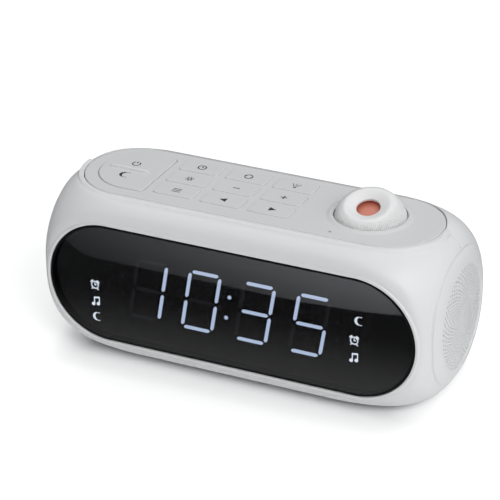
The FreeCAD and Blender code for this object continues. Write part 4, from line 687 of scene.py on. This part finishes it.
def add_grille(patches):
    """Diamond cells on rings turned by half a step; each cell has an eight-sided hole with a wall."""
    step = 2 * math.pi / HOLE_COUNT
    ring = np.arange(HOLE_RINGS)[:, None]
    middle = (np.arange(HOLE_COUNT)[None] + 0.5 * (ring % 2)) * step
    radius = np.broadcast_to(HOLE_FIRST + HOLE_STEP * ring, middle.shape)

    def at(r, a, rise=0.0):
        return np.stack([grille_x(r) + rise, CAP_Y + r * np.cos(a), CAP_Z + r * np.sin(a)], -1)

    turn = np.arange(8) * math.pi / 4
    across = np.minimum(HOLE_WIDE * radius * step, HOLE_WIDEST)
    hole_r = radius[..., None] + HOLE_LONG * HOLE_STEP * np.cos(turn)
    hole_a = middle[..., None] + across[..., None] * np.sin(turn) / radius[..., None]
    corner_r = np.stack([radius + HOLE_STEP, radius, radius - HOLE_STEP, radius], -1)
    corner_r = np.clip(corner_r, HOLE_INNER, HOLE_OUTER)
    corner_a = np.stack([middle, middle + step / 2, middle, middle - step / 2], -1)
    cells = np.concatenate([at(corner_r, corner_a), at(hole_r, hole_a), at(hole_r, hole_a, -HOLE_DEPTH)], 2)
    cells = cells.reshape(-1, 20, 3)
    first = (np.arange(len(cells)) * 20)[:, None, None]
    quads, tris = [], []
    for i in range(4):
        after = (i + 1) % 4
        here, half_way, following = 4 + 2 * i, 4 + 2 * i + 1, 4 + (2 * i + 2) % 8
        tris += [[i, here, half_way], [i, half_way, after], [after, half_way, following]]
    for i in range(8):
        quads.append([4 + i, 12 + i, 12 + (i + 1) % 8, 4 + (i + 1) % 8])
    patches.raw(cells.reshape(-1, 3), (np.array(tris)[None] + first).reshape(-1, 3),
                (np.array(quads)[None] + first).reshape(-1, 4))
    # triangles between the rings at the inner and outer limit, the middle disc and the outer edge
    for index, limit_r in ((0, HOLE_INNER), (HOLE_RINGS - 1, HOLE_OUTER)):
        own = middle[index]
        grid = np.stack([at(np.full(HOLE_COUNT, limit_r), own), at(radius[index], own + step / 2)], 1)
        following = np.roll(grid[:, 0], -1, axis=0)
        patches.raw(np.stack([grid[:, 0], following, grid[:, 1]], 1).reshape(-1, 3),
                    np.arange(3 * HOLE_COUNT).reshape(-1, 3))
    disc = [(HOLE_INNER, 0.0), (BADGE_R, 0.0), (BADGE_R - 0.1, 0.12), (BADGE_R - 0.3, BADGE_RISE),
            (3.0, BADGE_RISE), (0.0, BADGE_RISE)]
    patches.add(np.array([at(np.full(HOLE_COUNT, r), middle[0], rise) for r, rise in disc]), closed=True)
    outer = [at(np.full(HOLE_COUNT, r), middle[-1]) for r in (FIELD_R, HOLE_OUTER)]
    patches.add(np.array(outer), closed=True)


def arc(radius, start, stop, centre=(0.0, 0.0), count=20):
    """Points on a circle between two angles in degrees."""
    t = np.radians(np.linspace(start, stop, count))
    return np.stack([centre[0] + radius * np.cos(t), centre[1] + radius * np.sin(t)], -1)


def round_corners(middle_x, middle_y, half_x, half_y, corner):
    """The four corner arcs of a rounded rectangle."""
    run_x, run_y = half_x - corner, half_y - corner
    return [(middle_x + sx * run_x, middle_y + sy * run_y, corner, start, start + 90.0)
            for sx, sy, start in ((1, 1, 0.0), (-1, 1, 90.0), (-1, -1, 180.0), (1, -1, 270.0))]


def full_circle(x, y, radius, count=64):
    """One arc round a whole circle, without its doubled last point."""
    return [(x, y, radius, 0.0, 360.0 - 360.0 / count)]


def grown(arcs, grow, count, height):
    """A closed outline at one height from arcs (x, y, radius, start, stop), every radius grown alike."""
    flat = np.concatenate([arc(r + grow, start, stop, (x, y), count) for x, y, r, start, stop in arcs])
    return np.insert(flat, 2, height, axis=1)


def edge_rows(arcs, way, edge, count):
    """Rows of one outline of the panel: up the wall, over the rounded edge and a little on to the flat top.
    way is 1 for a window, whose edge lies outside its wall, and -1 for the panel's own edge."""
    steps = [(PANEL_UNDER, 0.0)] + [(PANEL_TOP - fall, inset) for fall, inset in quarter_round(edge)]
    steps.append((PANEL_TOP, edge + 0.12))
    return np.array([grown(arcs, way * inset, count, height) for height, inset in steps])


PLATE_R, PLATE_EDGE, WINDOW_EDGE, PINHOLE_EDGE = PANEL_R - 0.05, 0.5, 0.08, 0.2
# Radius and height of the lip round the ball, from its wall over the top to the plate
LIP_PROFILE = [(16.3, PANEL_UNDER), (15.95, 74.3), (15.76, 74.95), (15.76, 75.15), (15.84, 75.32),
               (16.05, 75.44), (16.4, 75.5), (16.9, 75.5), (17.35, 75.44), (17.75, 75.3), (18.1, 75.13),
               (18.4, 75.0), (18.7, 74.92), (19.05, PANEL_TOP), (19.3, PANEL_TOP)]


def panel():
    """Key panel: a plate with a rounded edge, a window with a narrow slit round each key and the rocker, a
    pinhole, and a raised round lip that follows the ball. Plate and underside are filled between outlines."""
    contours = [edge_rows([(PANEL_HALF, PANEL_Y, PLATE_R, -90.0, 90.0),
                           (-PANEL_HALF, PANEL_Y, PLATE_R, 90.0, 270.0)], -1, PLATE_EDGE, 64)]
    for row in (-1, 0, 1):
        for column in (-1, 0, 1):
            corners = round_corners(KEY_X + column * KEY_PITCH_X, KEY_Y + row * KEY_PITCH_Y,
                                    KEY_HALF_X + KEY_SLIT, KEY_HALF_Y + KEY_SLIT, KEY_CORNER + KEY_SLIT)
            contours.append(edge_rows(corners, 1, WINDOW_EDGE, 8))
    right, side = ROCKER_X + ROCKER_REACH - ROCKER_CORNER, ROCKER_R - ROCKER_CORNER
    rocker_arcs = [(ROCKER_X, PANEL_Y, ROCKER_R + ROCKER_SLIT, 90.0, 270.0),
                   (right, PANEL_Y - side, ROCKER_CORNER + ROCKER_SLIT, -90.0, 0.0),
                   (right, PANEL_Y + side, ROCKER_CORNER + ROCKER_SLIT, 0.0, 90.0)]
    contours.append(edge_rows(rocker_arcs, 1, WINDOW_EDGE, 32))
    contours.append(edge_rows(full_circle(*PINHOLE, PINHOLE_R, 24), 1, PINHOLE_EDGE, 24))
    contours.append(np.array([grown(full_circle(BALL[0], BALL[1], r, 128), 0.0, 128, height)
                              for r, height in LIP_PROFILE]))
    patches = Patches()
    for rows in contours:
        patches.add(rows, closed=True)
    for end in (-1, 0):
        loops = [rows[end] for rows in contours]
        fill = tessellate_polygon([[Vector(p) for p in loop] for loop in loops])
        patches.raw(np.concatenate(loops), np.array([tuple(t) for t in fill]))
    return patches.piece("panel_plate", GREY_PANEL)


# Printed marks: flat outlines with a little thickness
def stroke(points, width):
    """Two rows of points on both sides of a line: each point moved along the line's local normal."""
    points = np.asarray(points, float)
    run = np.gradient(points, axis=0)
    run /= np.linalg.norm(run, axis=-1)[:, None]
    normal = np.stack([-run[:, 1], run[:, 0]], -1) * width / 2
    return np.stack([points + normal, points - normal])


def bar(start, stop, width):
    """A straight stroke."""
    return stroke(np.linspace(start, stop, 3), width)


def wedge(tip, base_middle, half_width):
    """A triangle as two rows that meet at the tip."""
    tip, base = np.array(tip, float), np.array(base_middle, float)
    side = np.array([-(tip - base)[1], (tip - base)[0]])
    side *= half_width / np.linalg.norm(side)
    return np.stack([np.linspace(base + side, tip + side * 0.04, 4),
                     np.linspace(base - side, tip - side * 0.04, 4)])


def crescent(radius, centre=(0.0, 0.0)):
    """A moon: rows on an outer and an inner arc that meet at both horns."""
    outer = arc(radius, 55, 305, centre)
    inner = arc(radius * 1.02, 80, 280, (centre[0] + radius * 0.56, centre[1]))
    return np.stack([outer, inner])


LINE = 0.4
POWER = [stroke(arc(1.35, 125, 415, count=30), LINE), bar((0, 0.35), (0, 1.75), LINE)]
MOON = [crescent(1.9)]
CLOCK = [stroke(arc(1.4, 0, 360, count=33), LINE), bar((0, -0.1), (0, 0.95), 0.28),
         bar((-0.1, 0), (0.75, 0), 0.28)]
FLIP = [stroke(arc(1.35, 20, 160), LINE), stroke(arc(1.35, 200, 340), LINE),
        wedge((-1.42, -0.35), (-1.15, 0.6), 0.5), wedge((1.42, 0.35), (1.15, -0.6), 0.5)]
BEAM = [bar((-0.45, -1.3), (0.45, -1.3), 0.7), bar((-0.5, -0.6), (-1.5, 1.3), 0.26),
        bar((0, -0.6), (0, 1.4), 0.26), bar((0.5, -0.6), (1.5, 1.3), 0.26)]
SUN = [stroke(arc(0.7, 0, 360, count=25), LINE)]
SUN += [bar((1.1 * math.cos(t), 1.1 * math.sin(t)), (1.65 * math.cos(t), 1.65 * math.sin(t)), 0.26)
        for t in np.arange(8) * math.pi / 4]
MINUS = [bar((-1.2, 0), (1.2, 0), 0.42)]
PLUS = [bar((-1.2, 0), (1.2, 0), 0.42), bar((0, -1.2), (0, 1.2), 0.42)]
LIST = [bar((-1.5, h), (1.5, h), 0.36) for h in (-1.0, 0.0, 1.0)]
BACK = [wedge((-1.5, 0), (0.9, 0), 1.25)]
ONWARD = [wedge((1.5, 0), (-0.9, 0), 1.25)]
ALARM = [stroke(arc(1.25, 0, 360, count=33), 0.3), bar((0, -0.1), (0, 0.8), 0.24),
         bar((-0.1, 0), (0.6, 0), 0.24), stroke(arc(1.75, 112, 150, count=8), 0.5),
         stroke(arc(1.75, 30, 68, count=8), 0.5), bar((-0.8, -1.15), (-1.3, -1.7), 0.3),
         bar((0.8, -1.15), (1.3, -1.7), 0.3)]
NOTE = [bar((-0.55, -1.2), (-0.55, 1.3), 0.26), bar((1.25, -0.9), (1.25, 1.6), 0.26),
        bar((-0.65, 1.2), (1.35, 1.5), 0.5), stroke(arc(0.36, 0, 360, (-0.95, -1.2), 17), 0.5),
        stroke(arc(0.36, 0, 360, (0.85, -0.9), 17), 0.5)]
SLEEP = [crescent(1.5)]
MARK_SCALE, MARK_LIFT, MARK_THICK = 1.3, 0.01, 0.03
SIGNAL_Y, SIGNAL_THICK = -31.35, 0.3


def print_marks(name, marks, place, material, thickness, body="case"):
    """Marks with their spots as one mesh; place turns flat points (x, y) into points in space."""
    patches = Patches()
    for rows, at in marks:
        for row in rows:
            patches.add(place(row * MARK_SCALE + np.array(at)))
    piece = patches.piece(name, material, body)
    solid = piece.modifiers.new("thickness", "SOLIDIFY")
    solid.thickness, solid.offset = thickness * MM, 0.0
    return piece


def on_top(level):
    """Puts flat points on a level plane."""
    return lambda flat: np.concatenate([flat, np.full(flat.shape[:-1] + (1,), level)], -1)


def on_front(level):
    """Puts flat points on an upright plane that faces the front."""
    return lambda flat: np.stack([flat[..., 0], np.full(flat.shape[:-1], level), flat[..., 1]], -1)


KEY_MARKS = {
    "rear_left": CLOCK, "rear_centre": FLIP, "rear_right": BEAM, "middle_left": SUN, "middle_centre": MINUS,
    "middle_right": PLUS, "front_left": LIST, "front_centre": BACK, "front_right": ONWARD,
}
for row, row_name in enumerate(("front", "middle", "rear")):
    for column, column_name in enumerate(("left", "centre", "right")):
        spot = (KEY_X + (column - 1) * KEY_PITCH_X, KEY_Y + (row - 1) * KEY_PITCH_Y)
        label = row_name + "_" + column_name
        print_marks("mark_" + label, [(KEY_MARKS[label], spot)], on_top(KEY_TOP_Z + MARK_LIFT), INK,
                    MARK_THICK, "key_" + label + "_body")
print_marks("mark_rocker", [(POWER, (-63.0, 5.6)), (MOON, (-62.6, -6.2))], on_top(KEY_TOP_Z + MARK_LIFT), INK,
            MARK_THICK, "rocker")
rocker_rib()
print_marks("lens_signals", [(ALARM, (-64.6, 33.6)), (NOTE, (-64.4, 25.8)), (SLEEP, (-64.2, 18.2)),
                             (SLEEP, (59.0, 43.6)), (ALARM, (57.0, 34.0)), (NOTE, (57.0, 26.0))],
            on_front(SIGNAL_Y), ICON_WHITE, SIGNAL_THICK)

for piece, label, slot in ((shell_front(), "front_housing", "white_shell"),
                           (lens(), "display_lens", "smoked_lens"),
                           (panel(), "top_panel", "grey_panel"),
                           (focus_ring(), "focus_ring", "projector_white"),
                           (side_cap(1.0, "grille_cap"), "right_side_cap", "white_shell"),
                           (side_cap(-1.0, "plain_cap"), "left_side_cap", "white_shell")):
    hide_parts(label)

# Floor, light and camera, in metres
# The sky's strength rises between two heights of the view's direction; below, the table's light comes in
SKY_START, SKY_END, SKY_LOW, SKY_TOP = -0.1, 0.5, 0.03, 0.36
TABLE_START, TABLE_END, TABLE_LIGHT = -0.47, -0.58, 0.75


def build_world():
    """A plain studio: soft light from above, dim at the sides, and the light of a pale table from below."""
    world = bpy.data.worlds.new("studio")
    world.use_nodes = True
    tree = world.node_tree
    back = tree.nodes["Background"]
    place = node(tree, "ShaderNodeTexCoord").outputs["Generated"]
    rise = node(tree, "ShaderNodeSeparateXYZ", [(0, place)]).outputs[2]
    sky = ramp(tree, rise, SKY_START, SKY_END, SKY_LOW, SKY_TOP)
    table = ramp(tree, rise, TABLE_START, TABLE_END, 0.0, TABLE_LIGHT, interpolation_type="SMOOTHSTEP")
    tree.links.new(maths(tree, "ADD", sky, table), back.inputs["Strength"])
    back.inputs["Color"].default_value = (0.98, 0.99, 1.0, 1.0)
    bpy.context.scene.world = world


def area_light(name, place, aim, size, power, colour=(1.0, 1.0, 1.0)):
    """A square soft light at a place, turned to a point."""
    lamp = bpy.data.lights.new(name, "AREA")
    lamp.size, lamp.energy, lamp.color = size, power, colour
    holder = bpy.data.objects.new(name, lamp)
    bpy.context.scene.collection.objects.link(holder)
    holder.location = place
    holder.rotation_euler = (Vector(aim) - Vector(place)).to_track_quat("-Z", "Y").to_euler()
    return holder


def plain_mesh(name, points, material):
    """One flat outline as a stage piece."""
    mesh = bpy.data.meshes.new(name)
    mesh.from_pydata([tuple(p) for p in points], [], [tuple(range(len(points)))])
    piece = bpy.data.objects.new(name, mesh)
    bpy.context.scene.collection.objects.link(piece)
    mesh.materials.append(material)
    return piece


FLOOR_HALF, FOOT_HALF = 4.0, (0.07, 0.03, 0.0)
GLOW_RUN, GLOW, GLOW_INDIRECT = 0.02, 0.32, 0.35
# The card's sides, its foot and top, and middle x and half sizes of its two rounded lower corners
CARD_LEFT, CARD_RIGHT, CARD_Y, CARD_FOOT, CARD_TOP = -0.402, -0.08, -0.6006, -0.261, -0.01
CARD_CORNERS = ((-0.375, 0.027, 0.0575, 180.0, 270.0), (-0.235, 0.145, 0.0525, 270.0, 360.0))


def build_floor():
    """A pale floor with painted light: it glows a little away from the body's foot, most of all for the
    camera, so painted shade lies round the foot.
    """
    paint = plastic("floor_paint", (0.94, 0.94, 0.94), 0.7, grain_size=800.0, bump=0.0)
    tree = paint.node_tree
    place = node(tree, "ShaderNodeTexCoord").outputs["Object"]
    across = node(tree, "ShaderNodeVectorMath", [(0, place)], operation="ABSOLUTE")
    past = node(tree, "ShaderNodeVectorMath", [(0, across.outputs[0])], operation="SUBTRACT", in_1=FOOT_HALF)
    outside = node(tree, "ShaderNodeVectorMath", [(0, past.outputs[0])], operation="MAXIMUM", in_1=(0, 0, 0))
    away = node(tree, "ShaderNodeVectorMath", [(0, outside.outputs[0])], operation="LENGTH")
    # Painted light and shade: the floor's emission rises from nothing at the body's foot to full a little
    # away from it.
    fill = ramp(tree, away.outputs["Value"], 0.0, GLOW_RUN, 0.0, GLOW)
    seen = node(tree, "ShaderNodeLightPath").outputs["Is Camera Ray"]
    weight = ramp(tree, seen, 0.0, 1.0, GLOW_INDIRECT, 1.0)
    shader = tree.nodes["Principled BSDF"]
    shader.inputs["Emission Color"].default_value = (1, 1, 1, 1)
    tree.links.new(maths(tree, "MULTIPLY", fill, weight), shader.inputs["Emission Strength"])
    far = FLOOR_HALF
    floor = plain_mesh("floor", [(-far, -far, 0), (far, -far, 0), (far, far, 0), (-far, far, 0)], paint)
    floor.visible_glossy = False


def build_card():
    """A white card low in front that only glossy surfaces show; it is brighter to the right and upwards."""
    paint = bpy.data.materials.new("card_paint")
    paint.use_nodes = True
    tree = paint.node_tree
    place = node(tree, "ShaderNodeTexCoord").outputs["Object"]
    split = node(tree, "ShaderNodeSeparateXYZ", [(0, place)])
    sideways = ramp(tree, split.outputs[0], -0.40, -0.14, 0.48, 2.4)
    upward = ramp(tree, split.outputs[2], -0.26, -0.209, 0.5, 1.0)
    shader = tree.nodes["Principled BSDF"]
    shader.inputs["Base Color"].default_value = (0, 0, 0, 1)
    shader.inputs["Emission Color"].default_value = (0.92, 0.95, 1.0, 1.0)
    tree.links.new(maths(tree, "MULTIPLY", sideways, upward), shader.inputs["Emission Strength"])
    outline = [(CARD_LEFT, CARD_Y, CARD_TOP), (CARD_LEFT, CARD_Y, -0.1)]
    for middle, half_x, half_z, start, stop in CARD_CORNERS:
        outline += [(middle + half_x * x, CARD_Y, CARD_FOOT + half_z * (1.0 + z))
                    for x, z in arc(1.0, start, stop, count=10)]
    outline.append((CARD_RIGHT, CARD_Y, CARD_TOP))
    card = plain_mesh("card", outline, paint)
    for ray in ("camera", "diffuse", "transmission", "volume_scatter", "shadow"):
        setattr(card, "visible_" + ray, False)


CAMERA_PLACE, CAMERA_TURN = (0.39738, -0.85197, 0.53111), (62.981, 0.2912, 24.8725)
CAMERA_LENS, CAMERA_SHIFT = 176.675, (-0.02329, -0.01211)


def build_camera():
    """The camera at the photograph's place and angle."""
    lens_data = bpy.data.cameras.new("camera")
    camera = bpy.data.objects.new("camera", lens_data)
    bpy.context.scene.collection.objects.link(camera)
    camera.location = CAMERA_PLACE
    camera.rotation_euler = [math.radians(turn) for turn in CAMERA_TURN]
    lens_data.sensor_width = 36.0
    lens_data.lens = CAMERA_LENS
    lens_data.shift_x, lens_data.shift_y = CAMERA_SHIFT
    lens_data.clip_start, lens_data.clip_end = 0.01, 50.0
    bpy.context.scene.camera = camera


build_world()
build_floor()
build_card()
build_camera()
area_light("key", (1.1, -1.0, 1.3), (0.0, 0.0, 0.03), 1.0, 16.2)
area_light("top_soft", (-0.2, 0.3, 1.6), (0.0, 0.0, 0.0), 1.6, 9.8)
area_light("right_soft", (1.6, 0.0, 0.7), (0.0, 0.0, 0.03), 0.9, 4.0)
bpy.context.scene.view_settings.view_transform = "Standard"
